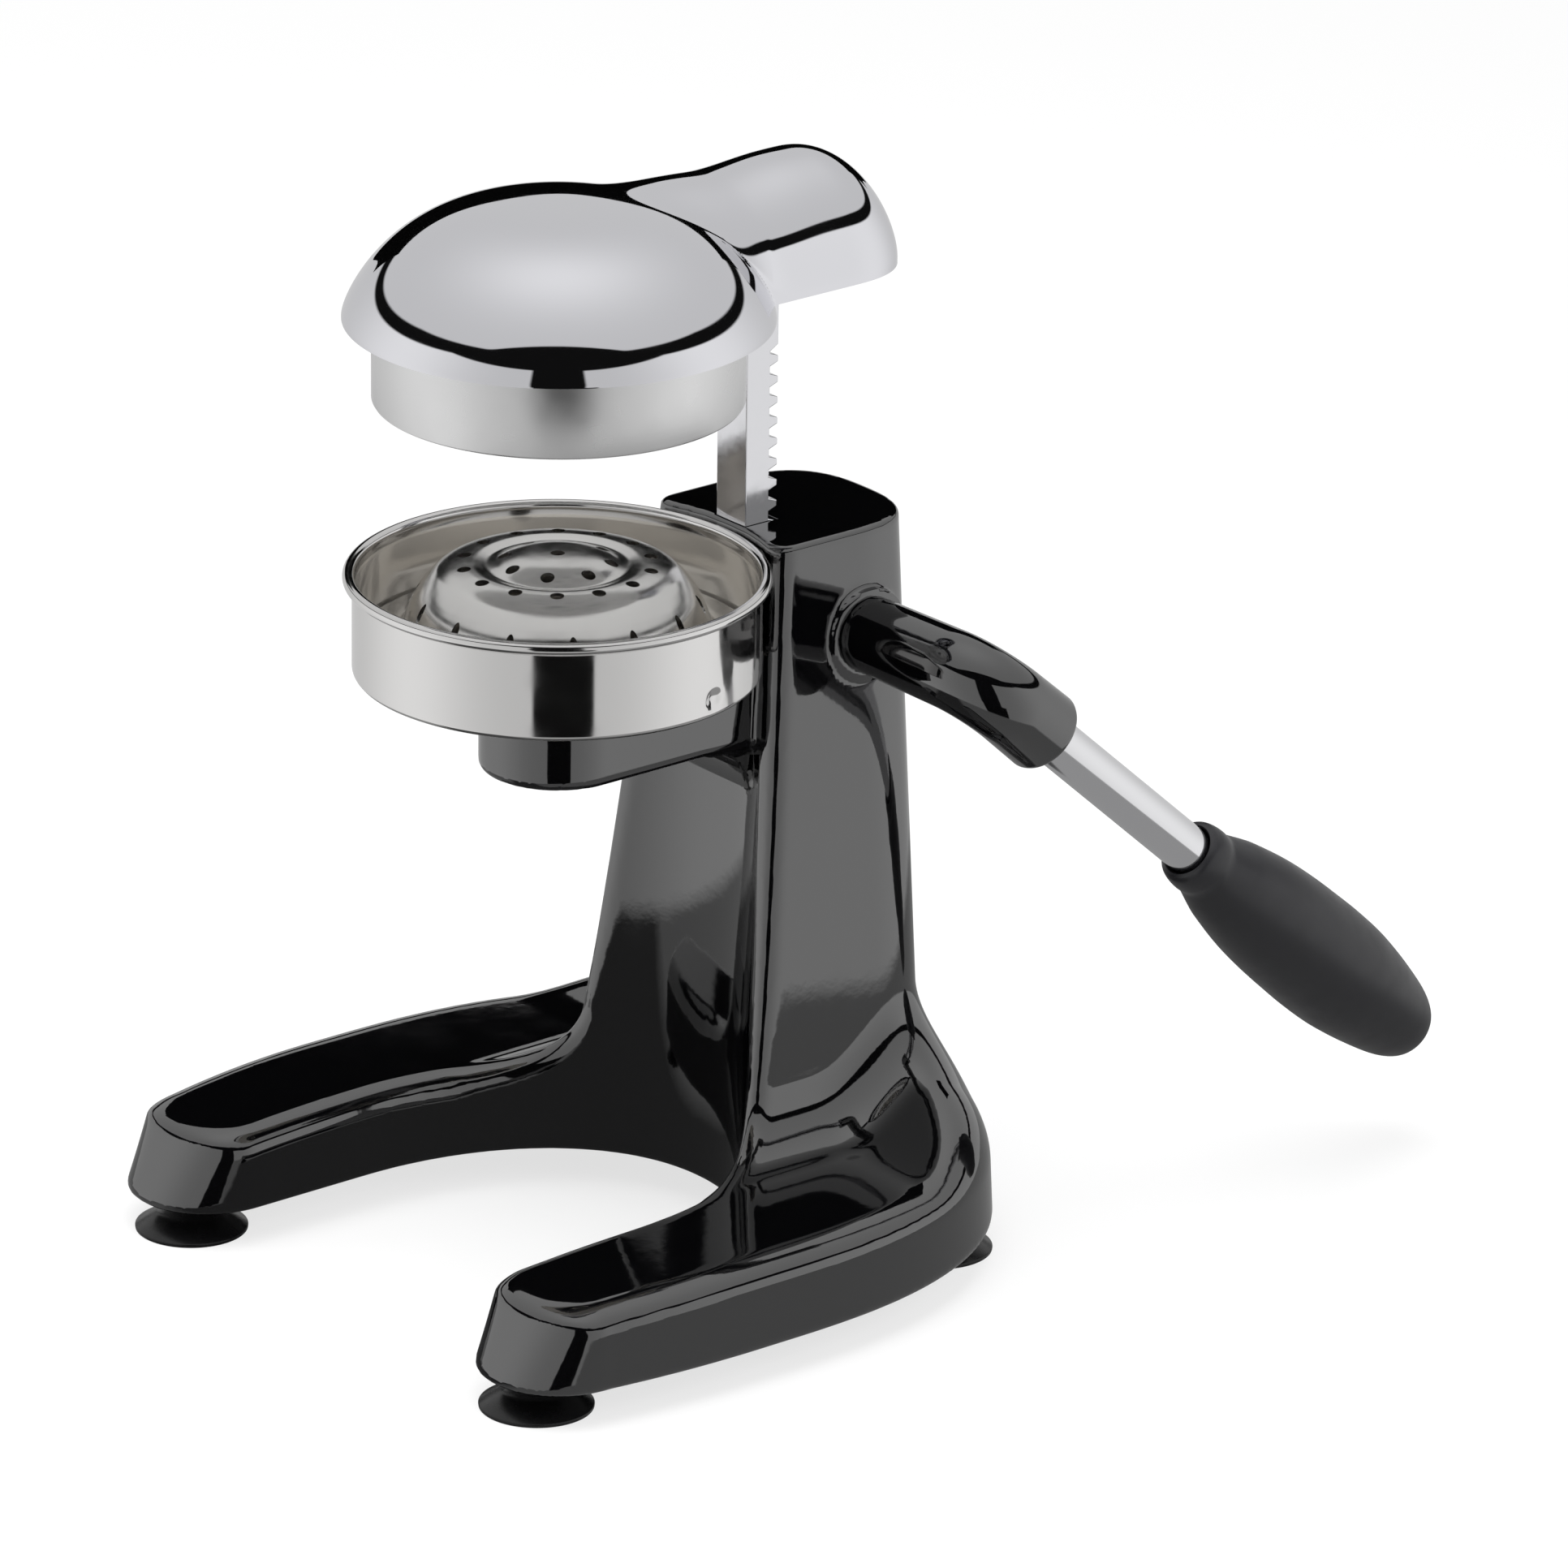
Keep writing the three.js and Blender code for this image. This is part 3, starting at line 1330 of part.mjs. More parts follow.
addPiece('stand_casting', standCasting(), finishes.enamel());
footPlaces.forEach((place) => addPiece(`suction_foot_${place[0]}`, footSolid(place), finishes.rubber()));
addPiece('juice_cup', juiceCup(), finishes.polishedSteel());
addPiece('strainer_dome', strainerDome(), finishes.polishedSteel());
addPiece('bush_right', bushSolid(1), finishes.bronze());
addPiece('bush_left', bushSolid(-1), finishes.bronze());
addPiece('head_casting', headCasting(), finishes.chrome());
addPiece('press_ring', pressRing(), finishes.steel());
addPiece('press_ring_screw', pressRingScrew(), finishes.gearSteel());
addPiece('rack_bar', rackBar(), finishes.chrome());
rackPinPlaces.forEach((place) => addPiece(place[0], rackPin(place), finishes.gearSteel()));
addPiece('pinion_gear', pinionGear(), finishes.gearSteel());
addPiece('pinion_pin', pinionPinRod(0), finishes.gearSteel());
addPiece('gear_spacer', gearSpacer(), finishes.gearSteel());
addPiece('pinion_shaft', pinionShaft(), finishes.gearSteel());
addPiece('shaft_end_washer', endWasherSolid(), finishes.gearSteel());
addPiece('shaft_end_screw', endScrewSolid(), finishes.gearSteel());
addPiece('lever_elbow', leverElbow(), finishes.enamel());
addPiece('elbow_set_screw', elbowSetScrew(0), finishes.gearSteel());
addPiece('lever_tube', leverTube(), finishes.polishedSteel());
addPiece('tube_set_screw', tubeSetScrew(0), finishes.gearSteel());
addPiece('lever_grip', leverGrip(), finishes.grip());

// The origin is the middle of the whole press on the table.
const extent = new THREE.Box3().setFromObject(press);
press.position.set(
  -(extent.min.x + extent.max.x) / 2,
  -(extent.min.y + extent.max.y) / 2,
  -extent.min.z,
);
press.updateMatrixWorld(true);

export default press;
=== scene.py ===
# %% [markdown]
# # A lever press for citrus fruit
# A hand press with a cast and enamelled stand, a chromed head on a rack, a side lever and a
# steel cup with a strainer. The solids come from the CAD frame. This script gives each visible
# piece a finer surface and its real finish. All sizes are millimetres round the axis of the
# juice cup, with X to the lever, Y to the back and Z up from the table.

# %% Load the frame
import json
import math

import bmesh
import bpy
import numpy as np
from mathutils import Matrix, Vector


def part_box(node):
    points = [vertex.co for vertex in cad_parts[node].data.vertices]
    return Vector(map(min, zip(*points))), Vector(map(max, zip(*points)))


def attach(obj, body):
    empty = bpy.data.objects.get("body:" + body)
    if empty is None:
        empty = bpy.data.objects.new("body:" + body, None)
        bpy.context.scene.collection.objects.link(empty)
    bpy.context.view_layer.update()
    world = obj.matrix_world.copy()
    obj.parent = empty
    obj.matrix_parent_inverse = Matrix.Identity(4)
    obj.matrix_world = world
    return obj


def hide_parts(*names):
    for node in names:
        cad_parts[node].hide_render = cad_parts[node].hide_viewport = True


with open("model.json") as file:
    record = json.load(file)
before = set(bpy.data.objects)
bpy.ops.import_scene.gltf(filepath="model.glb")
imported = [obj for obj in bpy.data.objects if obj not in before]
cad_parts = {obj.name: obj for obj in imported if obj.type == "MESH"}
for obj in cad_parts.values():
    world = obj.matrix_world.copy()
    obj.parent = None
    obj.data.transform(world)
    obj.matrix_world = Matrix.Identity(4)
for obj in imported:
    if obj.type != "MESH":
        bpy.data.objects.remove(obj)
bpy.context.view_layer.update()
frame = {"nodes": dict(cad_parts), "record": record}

MM = 0.001  # the frame is in metres
cup_low, cup_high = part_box("juice_cup")
cup_axis_y = (cup_low[1] + cup_high[1]) / 2 / MM
to_frame = np.array([0, cup_axis_y, 0])
print("cup axis at y", round(cup_axis_y, 3), "mm")

# %% [markdown]
# ## Helpers for surfaces
# Nearly every piece is a grid of points: a profile turned about an axis, or a section carried
# along a path. The whole grid is worked out as one array and handed to the mesh in one go.

# %% Grids and profiles
FULL_TURN = 2 * math.pi
LEG_SHARE = 0.49  # the most that an arc takes of a leg
NEARLY_STRAIGHT = 1.55  # half the angle of a corner that needs no arc


def grid_faces(rows, columns, wrap_rows=False, wrap_columns=False):
    """The corner numbers of the quads of a grid that is stored row by row."""
    row, column = np.meshgrid(
        np.arange(rows - (not wrap_rows)), np.arange(columns - (not wrap_columns)), indexing="ij")
    next_row, next_column = (row + 1) % rows, (column + 1) % columns
    corners = [row * columns + column, row * columns + next_column,
               next_row * columns + next_column, next_row * columns + column]
    return np.stack(corners, -1).reshape(-1, 4)


def rounded(corners, radii, steps=6):
    """A line of (a, b) corners in which each corner becomes an arc of its radius.

    The arc starts and ends radius / tan(half the corner's angle) away from the corner."""
    corners = np.asarray(corners, float)
    radii = np.broadcast_to(radii, len(corners))
    line = [corners[:1]]
    for i in range(1, len(corners) - 1):
        back, on = corners[i - 1] - corners[i], corners[i + 1] - corners[i]
        back_length, on_length = np.linalg.norm(back), np.linalg.norm(on)
        back, on = back / back_length, on / on_length
        half = math.acos(np.clip(back @ on, -1, 1)) / 2
        if radii[i] <= 0 or half > NEARLY_STRAIGHT:
            line.append(corners[i:i + 1])
            continue
        reach = min(radii[i] / math.tan(half), LEG_SHARE * back_length, LEG_SHARE * on_length)
        radius = reach * math.tan(half)
        middle = corners[i] + (back + on) / np.linalg.norm(back + on) * radius / math.sin(half)
        start, end = corners[i] + back * reach - middle, corners[i] + on * reach - middle
        sweep = math.pi - 2 * half
        share = np.linspace(0, 1, steps + 1)[:, None]
        arc = (np.sin((1 - share) * sweep) * start + np.sin(share * sweep) * end) / math.sin(sweep)
        line.append(middle + arc)
    line.append(corners[-1:])
    return np.concatenate(line)


def smooth_line(stops, count):
    """A Catmull-Rom curve through the stops: each stretch is a cubic whose end slopes are half
    the step between the neighbouring stops."""
    stops = np.asarray(stops, float)
    padded = np.concatenate([2 * stops[:1] - stops[1:2], stops, 2 * stops[-1:] - stops[-2:-1]])
    place = np.linspace(0, len(stops) - 1, count)
    i = np.minimum(place.astype(int), len(stops) - 2)
    t = (place - i)[:, None]
    a, b, c, d = (padded[i + k] for k in range(4))
    return b + 0.5 * t * (c - a + t * (2 * a - 5 * b + 4 * c - d + t * (3 * (b - c) + d - a)))

# %% [markdown]
# A turned part starts as a profile, which is its section from the axis outwards. The lathe
# turns it about Z, and then it moves to its own axis.

# %% The lathe
def lathe(profile, sides=128, closed=False):
    """The profile's (radius, height) points turned about Z: (r cos a, r sin a, z)."""
    radius, height = np.asarray(profile, float).T
    angle = np.linspace(0, FULL_TURN, sides, endpoint=False)
    points = np.stack([np.outer(radius, np.cos(angle)), np.outer(radius, np.sin(angle)),
                       np.repeat(height[:, None], sides, 1)], -1)
    return points.reshape(-1, 3), grid_faces(len(radius), sides, closed, True)


def along_axis(points, origin, direction):
    """Turns points from the Z axis to another axis through the origin."""
    turn = Vector((0, 0, 1)).rotation_difference(Vector(direction)).to_matrix()
    return points @ np.array(turn).T + np.array(origin)


# %% [markdown]
# A mesh is made from two arrays, its points and its faces. Points that meet are merged, as at
# the middle of a dome.

# %% Meshes
MERGE_DISTANCE = 0.0002  # mm


def mesh_of(name, points, faces, sharp_degrees=35):
    """A mesh from points in millimetres and faces, with its doubles merged, its faces turned
    outwards and its edges sharp where the faces meet at more than an angle."""
    mesh = bpy.data.meshes.new(name)
    mesh.from_pydata((points + to_frame) * MM, [], faces)
    edited = bmesh.new()
    edited.from_mesh(mesh)
    bmesh.ops.remove_doubles(edited, verts=edited.verts, dist=MERGE_DISTANCE * MM)
    bmesh.ops.recalc_face_normals(edited, faces=edited.faces)
    edited.to_mesh(mesh)
    edited.free()
    mesh.shade_smooth()
    mesh.set_sharp_from_angle(angle=math.radians(sharp_degrees))
    return mesh


# %% [markdown]
# A piece rides on one moving body of the press and stands for solids of the frame. Holes and
# slots are taken out of it with cutters, as drills and mills do.

# %% Pieces
def add_object(name, data):
    """A new object in the scene."""
    obj = bpy.data.objects.new(name, data)
    bpy.context.scene.collection.objects.link(obj)
    return obj


def piece(name, mesh, material, body, slot, *nodes):
    """An object that rides on a body, takes the finish it is given and stands for CAD nodes. The slot
    is not used.
    """
    obj = add_object(name, mesh)
    mesh.materials.append(material)
    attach(obj, body)
    if nodes:
        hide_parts(*nodes)
    print(f"{name}: {len(mesh.polygons)} faces")
    return obj


def turned(name, profile, sides, *how, origin=(0, 0, 0), direction=(0, 0, 1), sharp_degrees=35):
    """A piece off the lathe: its profile is turned and moved to its axis. A profile that starts
    on the axis stays open there, and any other is closed to a ring."""
    points, faces = lathe(profile, sides, profile[0][0] > 0)
    mesh = mesh_of(name, along_axis(points, origin, direction), faces, sharp_degrees)
    return piece(name, mesh, *how)


def cut_away(obj, cutters, sharp_degrees=35):
    """Takes the cutters' volumes out of an object's mesh, as drilling and milling do."""
    target = obj.data
    for cutter in cutters:
        helper = add_object("cutter", cutter)
        carve = obj.modifiers.new("carve", "BOOLEAN")
        carve.object = helper
        carve.solver = "EXACT"
        carve.operation = "DIFFERENCE"
        evaluated = obj.evaluated_get(bpy.context.evaluated_depsgraph_get())
        result = bpy.data.meshes.new_from_object(evaluated)
        obj.modifiers.remove(carve)
        bpy.data.objects.remove(helper)
        obj.data = result
    obj.data.name = target.name
    obj.data.shade_smooth()
    obj.data.set_sharp_from_angle(angle=math.radians(sharp_degrees))
    print(f"{obj.name}: {len(obj.data.polygons)} faces after {len(cutters)} cuts")


# %% [markdown]
# ## Helpers for materials
# A finish is a few nodes: a shader whose roughness and bump follow fine noise. Colours are
# written as on a screen (sRGB) and turned to the linear values that the shader needs. Patterns
# are placed by Object coordinates, which are metres here, so a grain of 2 mm has a noise scale
# of one over 2 mm.

# %% Colours and nodes
NOISE_LOW, NOISE_HIGH = 0.3, 0.7  # where nearly all of a noise's values lie
COLOUR_A, COLOUR_B, COLOUR_OUT = 6, 7, 2  # a Mix node's sockets for colours
VALUE_A, VALUE_B = 2, 3  # and for plain values


def linear(colour):
    """An sRGB hex colour as linear red, green, blue and alpha: c / 12.92 in the darks, else
    ((c + 0.055) / 1.055) to the power 2.4."""
    shares = [int(colour[i:i + 2], 16) / 255 for i in (1, 3, 5)]
    return [s / 12.92 if s <= 0.04045 else ((s + 0.055) / 1.055) ** 2.4 for s in shares] + [1]


def add_node(tree, kind, inputs=None, **settings):
    """Adds a shader node with its settings. An input is a value, another node's output, or
    another node, which stands for its first output."""
    node = tree.nodes.new("ShaderNode" + kind)
    for key, value in settings.items():
        setattr(node, key, value)
    for key, value in (inputs or {}).items():
        socket = node.inputs[key]
        if isinstance(value, bpy.types.Node):
            value = value.outputs[0]
        if isinstance(value, bpy.types.NodeSocket):
            tree.links.new(value, socket)
        else:
            socket.default_value = value
    return node


def new_material(name):
    """An empty node material, its tree and the Object coordinates in it."""
    material = bpy.data.materials.new(name)
    material.use_nodes = True
    material.node_tree.nodes.clear()
    place = add_node(material.node_tree, "TexCoord").outputs["Object"]
    return material, material.node_tree, place


def finish(name, patch_mm, gloss, grain_mm, stretch, bump_mm, shader, pattern=None):
    """A surface of one substance: roughness in soft patches between two values, and a bump of
    stretched grain. A pattern is a function that returns more of the shader's inputs."""
    material, tree, place = new_material(name)
    patches = add_node(tree, "TexNoise", {"Vector": place, "Scale": 1 / (patch_mm * MM)})
    roughness = add_node(tree, "MapRange", {
        "Value": patches, "From Min": NOISE_LOW, "From Max": NOISE_HIGH,
        "To Min": gloss[0], "To Max": gloss[1]})
    spread = add_node(tree, "Mapping", {"Vector": place, "Scale": stretch})
    grain = add_node(tree, "TexNoise", {"Vector": spread, "Scale": 1 / (grain_mm * MM), "Detail": 2})
    bump = add_node(tree, "Bump", {"Height": grain, "Distance": bump_mm * MM})
    if pattern:
        shader = {**shader, **pattern(tree, place)}
    surface = add_node(tree, "BsdfPrincipled", {"Roughness": roughness, "Normal": bump, **shader})
    add_node(tree, "OutputMaterial", {"Surface": surface})
    print(f"{name}: roughness {gloss[0]} to {gloss[1]}, grain {grain_mm} mm")
    return material


# %% [markdown]
# ## Enamel on the castings
# The stand and the elbow are iron castings, dipped in black stoving enamel and baked. A thick,
# hard gloss coat reflects like a dark mirror, and it dries with a faint orange peel, here 3 mm
# across. An enamel's IOR is near 1.6, but a baked gloss coat over black mirrors more of the
# room, so 2.2 fits the greys that its walls show.

# %% Enamel
enamel = finish("black_stoving_enamel", 9, (0.03, 0.06), 3.0, (1, 1, 1), 0.009,
                {"Base Color": linear("#040405"), "IOR": 2.2})

# %% [markdown]
# ## Plating
# The head is polished and chromed: a clean, bluish mirror that still shows the soft waves of
# hand polishing, about 7 mm long. The rack is plated over its milled faces, so lengthwise
# lines 0.5 mm apart stay and blur what it mirrors.

# %% Chrome
chrome = finish("polished_chrome_plate", 14, (0.02, 0.045), 7, (1, 1, 1), 0.002,
                {"Base Color": linear("#dfdfe3"), "Metallic": 1.0})
satin_chrome = finish("satin_chrome_plate", 3, (0.09, 0.17), 0.5, (1, 1, 0.05), 0.003,
                      {"Base Color": linear("#dedee1"), "Metallic": 1.0})

# %% [markdown]
# ## Stainless steel
# The cup is spun and polished: turning lines run round it half a millimetre apart. Its inside
# is painted lighter: a warmer tint and half matt metal make it look lit, and the radius in
# Object coordinates tells it from the outside. The strainer is pressed and satin polished, the
# ring is brushed round, and the tube is drawn and polished.

# %% Steel
# The cup's inside tint and its half matt metal are painted light.
CUP_OUTSIDE, CUP_LIT_INSIDE, LIT_CUP_METALLIC = "#dcdbda", "#dcd7cf", 0.5
# The ring's inside is made partly matt as painted light from the floor below.
RING_LIT_INSIDE_METALLIC = 0.35
CUP_SKIN_RADIUS, RING_SKIN_RADIUS, SKIN_BLUR = 48.4, 44.2, 0.05


def outer_share(tree, place, radius):
    """0 nearer to the cup's axis than a radius and 1 farther out, with a narrow ramp between."""
    level = add_node(tree, "Mapping", {
        "Vector": place, "Location": (0, -cup_axis_y * MM, 0), "Scale": (1, 1, 0)})
    away = add_node(tree, "VectorMath", {0: level}, operation="LENGTH")
    share = add_node(tree, "MapRange", {
        "Value": away.outputs["Value"], "From Min": (radius - SKIN_BLUR) * MM,
        "From Max": (radius + SKIN_BLUR) * MM})
    return share


def painted_lit_cup_inside(tree, place):
    """Painted light: warmer and half matt within the cup's wall, so that the inside looks lit, and a
    neutral mirror outside it.
    """
    outside = outer_share(tree, place, CUP_SKIN_RADIUS)
    tint = add_node(tree, "Mix", {
        "Factor": outside, COLOUR_A: linear(CUP_LIT_INSIDE), COLOUR_B: linear(CUP_OUTSIDE)},
        data_type="RGBA")
    metallic = add_node(tree, "MapRange", {
        "Value": outside, "To Min": LIT_CUP_METALLIC, "To Max": 1.0})
    return {"Base Color": tint.outputs[COLOUR_OUT], "Metallic": metallic}


def painted_lit_ring_inside(tree, place):
    """Painted light: matt within the press ring's wall, so that its inside looks lit from the white
    floor below, and bare metal outside it.
    """
    metallic = add_node(tree, "MapRange", {
        "Value": outer_share(tree, place, RING_SKIN_RADIUS),
        "To Min": RING_LIT_INSIDE_METALLIC, "To Max": 1.0})
    return {"Metallic": metallic}


spun_steel = finish("polished_spun_steel", 8, (0.06, 0.12), 30, (1, 1, 60), 0.004, {}, painted_lit_cup_inside)
pressed_steel = finish("satin_pressed_steel", 5, (0.15, 0.22), 1.4, (1, 1, 1), 0.003,
                       {"Base Color": linear("#d8d7d5"), "Metallic": 1.0})
brushed_steel = finish("brushed_ring_steel", 12, (0.26, 0.34), 40, (1, 1, 100), 0.006,
                       {"Base Color": linear("#dcdcdc")}, painted_lit_ring_inside)
drawn_steel = finish("polished_drawn_steel", 6, (0.07, 0.11), 1.5, (1, 1, 1), 0.002,
                     {"Base Color": linear("#e6e6e8"), "Metallic": 1.0})

# %% [markdown]
# ## Bearings, grip and feet
# The gear and shaft are turned from mild steel and oiled, so they are grey and half matt. The
# bushes are sintered bronze with a fine grain. The grip is a moulded phenolic plastic with a
# dull sheen, and the feet are moulded rubber with a waxy gloss.

# %% Machined metal, plastic and rubber
machined_steel = finish("machined_oiled_steel", 2, (0.25, 0.4), 0.4, (1, 1, 1), 0.006,
                        {"Base Color": linear("#9b9b9c"), "Metallic": 1.0})
sintered_bronze = finish("sintered_bronze", 1.5, (0.35, 0.5), 0.5, (1, 1, 1), 0.01,
                         {"Base Color": linear("#9c7a45"), "Metallic": 1.0})
grip_plastic = finish("moulded_phenolic_plastic", 6, (0.34, 0.42), 0.35, (1, 1, 1), 0.008,
                      {"Base Color": linear("#1b1b1e"), "IOR": 1.5})
rubber = finish("moulded_rubber", 4, (0.2, 0.3), 0.6, (1, 1, 1), 0.006,
                {"Base Color": linear("#0b0b0c"), "IOR": 1.5})

# %% [markdown]
# ## The stand
# The stand is one iron casting with soft blends everywhere, so a field of distances suits it:
# each form is a formula that is negative inside, and rounded edges and fillets come from how
# the formulas are joined. The surface is found where the field is zero.

# %% Fields of distances
TINY, TINIEST = 1e-6, 1e-9  # keep a division or a power from running to infinity


def ramp(share):
    """An eased step from 0 to 1: 6 t^5 - 15 t^4 + 10 t^3."""
    t = np.clip(share, 0, 1)
    return t * t * t * (t * (6 * t - 15) + 10)


def blend(a, b, share):
    """A mix of a and b: a at share 0, b at share 1."""
    return a + (b - a) * share


def round_edge(a, b, radius):
    """The space inside both a and b: max(a, b), with a circle's distance near their edge."""
    arc = np.hypot(np.maximum(a + radius, 0), np.maximum(b + radius, 0))
    return arc + np.minimum(np.maximum(a, b), -radius)


def fillet(a, b, radius):
    """The space inside a or b: min(a, b), with a hollow circle's distance where they meet."""
    arc = np.hypot(np.maximum(radius - a, 0), np.maximum(radius - b, 0))
    return np.maximum(np.minimum(a, b), radius) - arc


def long_edge(side, top, run, drop):
    """As round_edge, with a quarter ellipse: a run inwards from the side, a drop below the top."""
    u, v = (side + run) / run, (top + drop) / drop
    length = np.maximum(np.hypot(u, v), TINY)
    slope = np.hypot(u / run, v / drop) / length
    return np.where((u > 0) & (v > 0), (length - 1) / np.maximum(slope, TINY), np.maximum(side, top))


def oval(x, y, a, b, exponent):
    """Distance from the superellipse |x/a|^n + |y/b|^n = 1, from its value and its slope."""
    u, v = np.abs(x / a) + TINIEST, np.abs(y / b) + TINIEST
    value = (u ** exponent + v ** exponent) ** (1 / exponent)
    slope = value ** (1 - exponent) * np.hypot(u ** (exponent - 1) / a, v ** (exponent - 1) / b)
    return (value - 1) / slope


# %% [markdown]
# The base is a plate with two arms. Its top drops to their ends and rises to a deck at the back,
# and its sides lean in a little, as a casting's must to leave the mould.

# %% The base
BASE_BOTTOM, ARM_TOP, DECK_TOP, DECK_START, DECK_RUN = 9.0, 30.6, 45.6, 48, 42
ARM_DROP, ARM_DROP_Y, ARM_DROP_RUN = 2.2, -4.0, 56.0
BASE_HALF, BASE_REAR, BASE_EXPONENT, SIDE_LEAN = 92.5, 105.0, 2.5, 0.05
BOW_START, BOW_RUN = -10.0, 3.2
ARM_EDGE_RUN, ARM_EDGE_DROP, DECK_EDGE_RUN, DECK_EDGE_DROP = 8, 6, 24, 21.6
CAP_Y, CAP_DEPTH, CAP_SLOPE, CAP_EXPONENT, CAP_MIDDLE, CAP_RUN = -52.0, 21.4, 0.5, 2.1, 60, 20
INNER_EDGE, END_EDGE, END_EDGE_RUN = 6.4, 2.6, 14.0
OPENING_HALF, OPENING_DEPTH, OPENING_Y = 49.5, 64.5, -20.0
OPENING_EXPONENT, OPENING_DRAFT = 2.15, 0.044


def base_forms(x, y, z):
    """The plate, the opening between the arms and the arms' ends. The plate is a superellipse
    behind and a side bowed as a parabola in front, the opening is a superellipse that widens
    upwards, and an end is a superellipse that leans back."""
    up = z - BASE_BOTTOM
    rise = ramp((y - DECK_START) / DECK_RUN)
    drop = ARM_DROP * (np.maximum(ARM_DROP_Y - y, 0) / ARM_DROP_RUN) ** 2
    top = z - blend(ARM_TOP, DECK_TOP, rise) + drop
    lean = SIDE_LEAN * np.minimum(up, ARM_TOP - BASE_BOTTOM)
    bow = BOW_RUN * (np.maximum(BOW_START - y, 0) / (BOW_START - CAP_Y)) ** 2
    side = np.where(y > 0, oval(x, y, BASE_HALF, BASE_REAR, BASE_EXPONENT), x - BASE_HALF + bow)
    plate = long_edge(side + lean, top, blend(ARM_EDGE_RUN, DECK_EDGE_RUN, rise),
                      blend(ARM_EDGE_DROP, DECK_EDGE_DROP, rise))
    widened = OPENING_DRAFT * up
    outer, inner = BASE_HALF - BOW_RUN - lean, OPENING_HALF + widened
    rear = oval(x, y - OPENING_Y, inner, OPENING_DEPTH + widened, OPENING_EXPONENT)
    opening = np.where(y > OPENING_Y, rear, x - inner)
    depth = CAP_DEPTH - CAP_SLOPE * np.clip(up, 0, ARM_TOP - BASE_BOTTOM)
    cap = oval(x - (outer + inner) / 2, y - CAP_Y, (outer - inner) / 2, depth, CAP_EXPONENT)
    outward, at_end = ramp((x - CAP_MIDDLE) / CAP_RUN), ramp((CAP_Y - y) / END_EDGE_RUN)
    run, drop = (blend(blend(INNER_EDGE, size, outward), END_EDGE, at_end)
                 for size in (ARM_EDGE_RUN, ARM_EDGE_DROP))
    return plate, opening, long_edge(cap, top, run, drop)


# %% [markdown]
# The column widens downwards and has a rounded back. The bracket reaches forward from it under
# the cup, with a web in the corner below, and a boss on each side carries the shaft.

# %% Column, bracket and web
COLUMN_TOP, COLUMN_HALF, COLUMN_TAPER, COLUMN_REAR_TAPER = 178.8, 24.4, 0.08, 0.0125
COLUMN_REAR, COLUMN_REAR_DEPTH, COLUMN_EXPONENT, COLUMN_FRONT = 95.4, 24.0, 2.7, 20.0
BRACKET_RADIUS, BRACKET_TOP, BRACKET_BOTTOM, BRACKET_ROOT = 18.85, 152.2, 128.0, 58.0
BRACKET_LOW_EDGE, BRACKET_TOP_EDGE = 2.2, 0.8
WEB_RADIUS, WEB_WALL_Y, WEB_INSET, WEB_OVERLAP = 12.0, 45.8, 2.0, 1


def column(x, y, z):
    """A superellipse in plan that widens by a share of the depth below the column's top."""
    below = COLUMN_TOP - np.minimum(z, COLUMN_TOP)
    half = COLUMN_HALF + COLUMN_TAPER * below
    rear_y = COLUMN_REAR - COLUMN_REAR_DEPTH + COLUMN_REAR_TAPER * below
    rear = oval(x, y - rear_y, half, COLUMN_REAR_DEPTH, COLUMN_EXPONENT)
    return np.maximum(np.where(y > rear_y, rear, x - half), COLUMN_FRONT - y)


def bracket(x, y, z):
    """A shelf that ends in a half circle."""
    shelf = np.where(y < 0, np.hypot(x, y), x) - BRACKET_RADIUS
    shelf = round_edge(np.maximum(shelf, y - BRACKET_ROOT), BRACKET_BOTTOM - z, BRACKET_LOW_EDGE)
    return round_edge(shelf, z - BRACKET_TOP, BRACKET_TOP_EDGE)


def web(x, y, z):
    """The corner between shelf and column, filled up to a quarter circle."""
    middle_y, middle_z = WEB_WALL_Y - WEB_RADIUS, BRACKET_BOTTOM - WEB_RADIUS
    hollow = WEB_RADIUS - np.hypot(y - middle_y, z - middle_z)
    return np.maximum.reduce([x - BRACKET_RADIUS + WEB_INSET, hollow, middle_y - y, middle_z - z,
                              z - BRACKET_BOTTOM - WEB_OVERLAP, y - BRACKET_ROOT])


# %% [markdown]
# The casting joins these forms: hollow fillets where they meet, then the opening with its
# rounded edge, the arms' ends, and the faces that are cut flat.

# %% The stand's field
AXLE = np.array([0, 74.23, 153.2])
BOSS_RADIUS, BOSS_FACE, BOSS_EDGE, BOSS_FILLET = 11.3, 28.0, 0.8, 1.5
FRONT_CORNER, CORNER_START, CORNER_RUN, COLUMN_LIP, BASE_LIP = 7.0, 36, 40, 1.2, 2.0
FOOT_FILLET, WEB_FILLET, BRACKET_FILLET = 16.0, 0.6, 2.5
CUP_ROOM_RADIUS, CUP_ROOM_LIFT = 49.8, 0.05


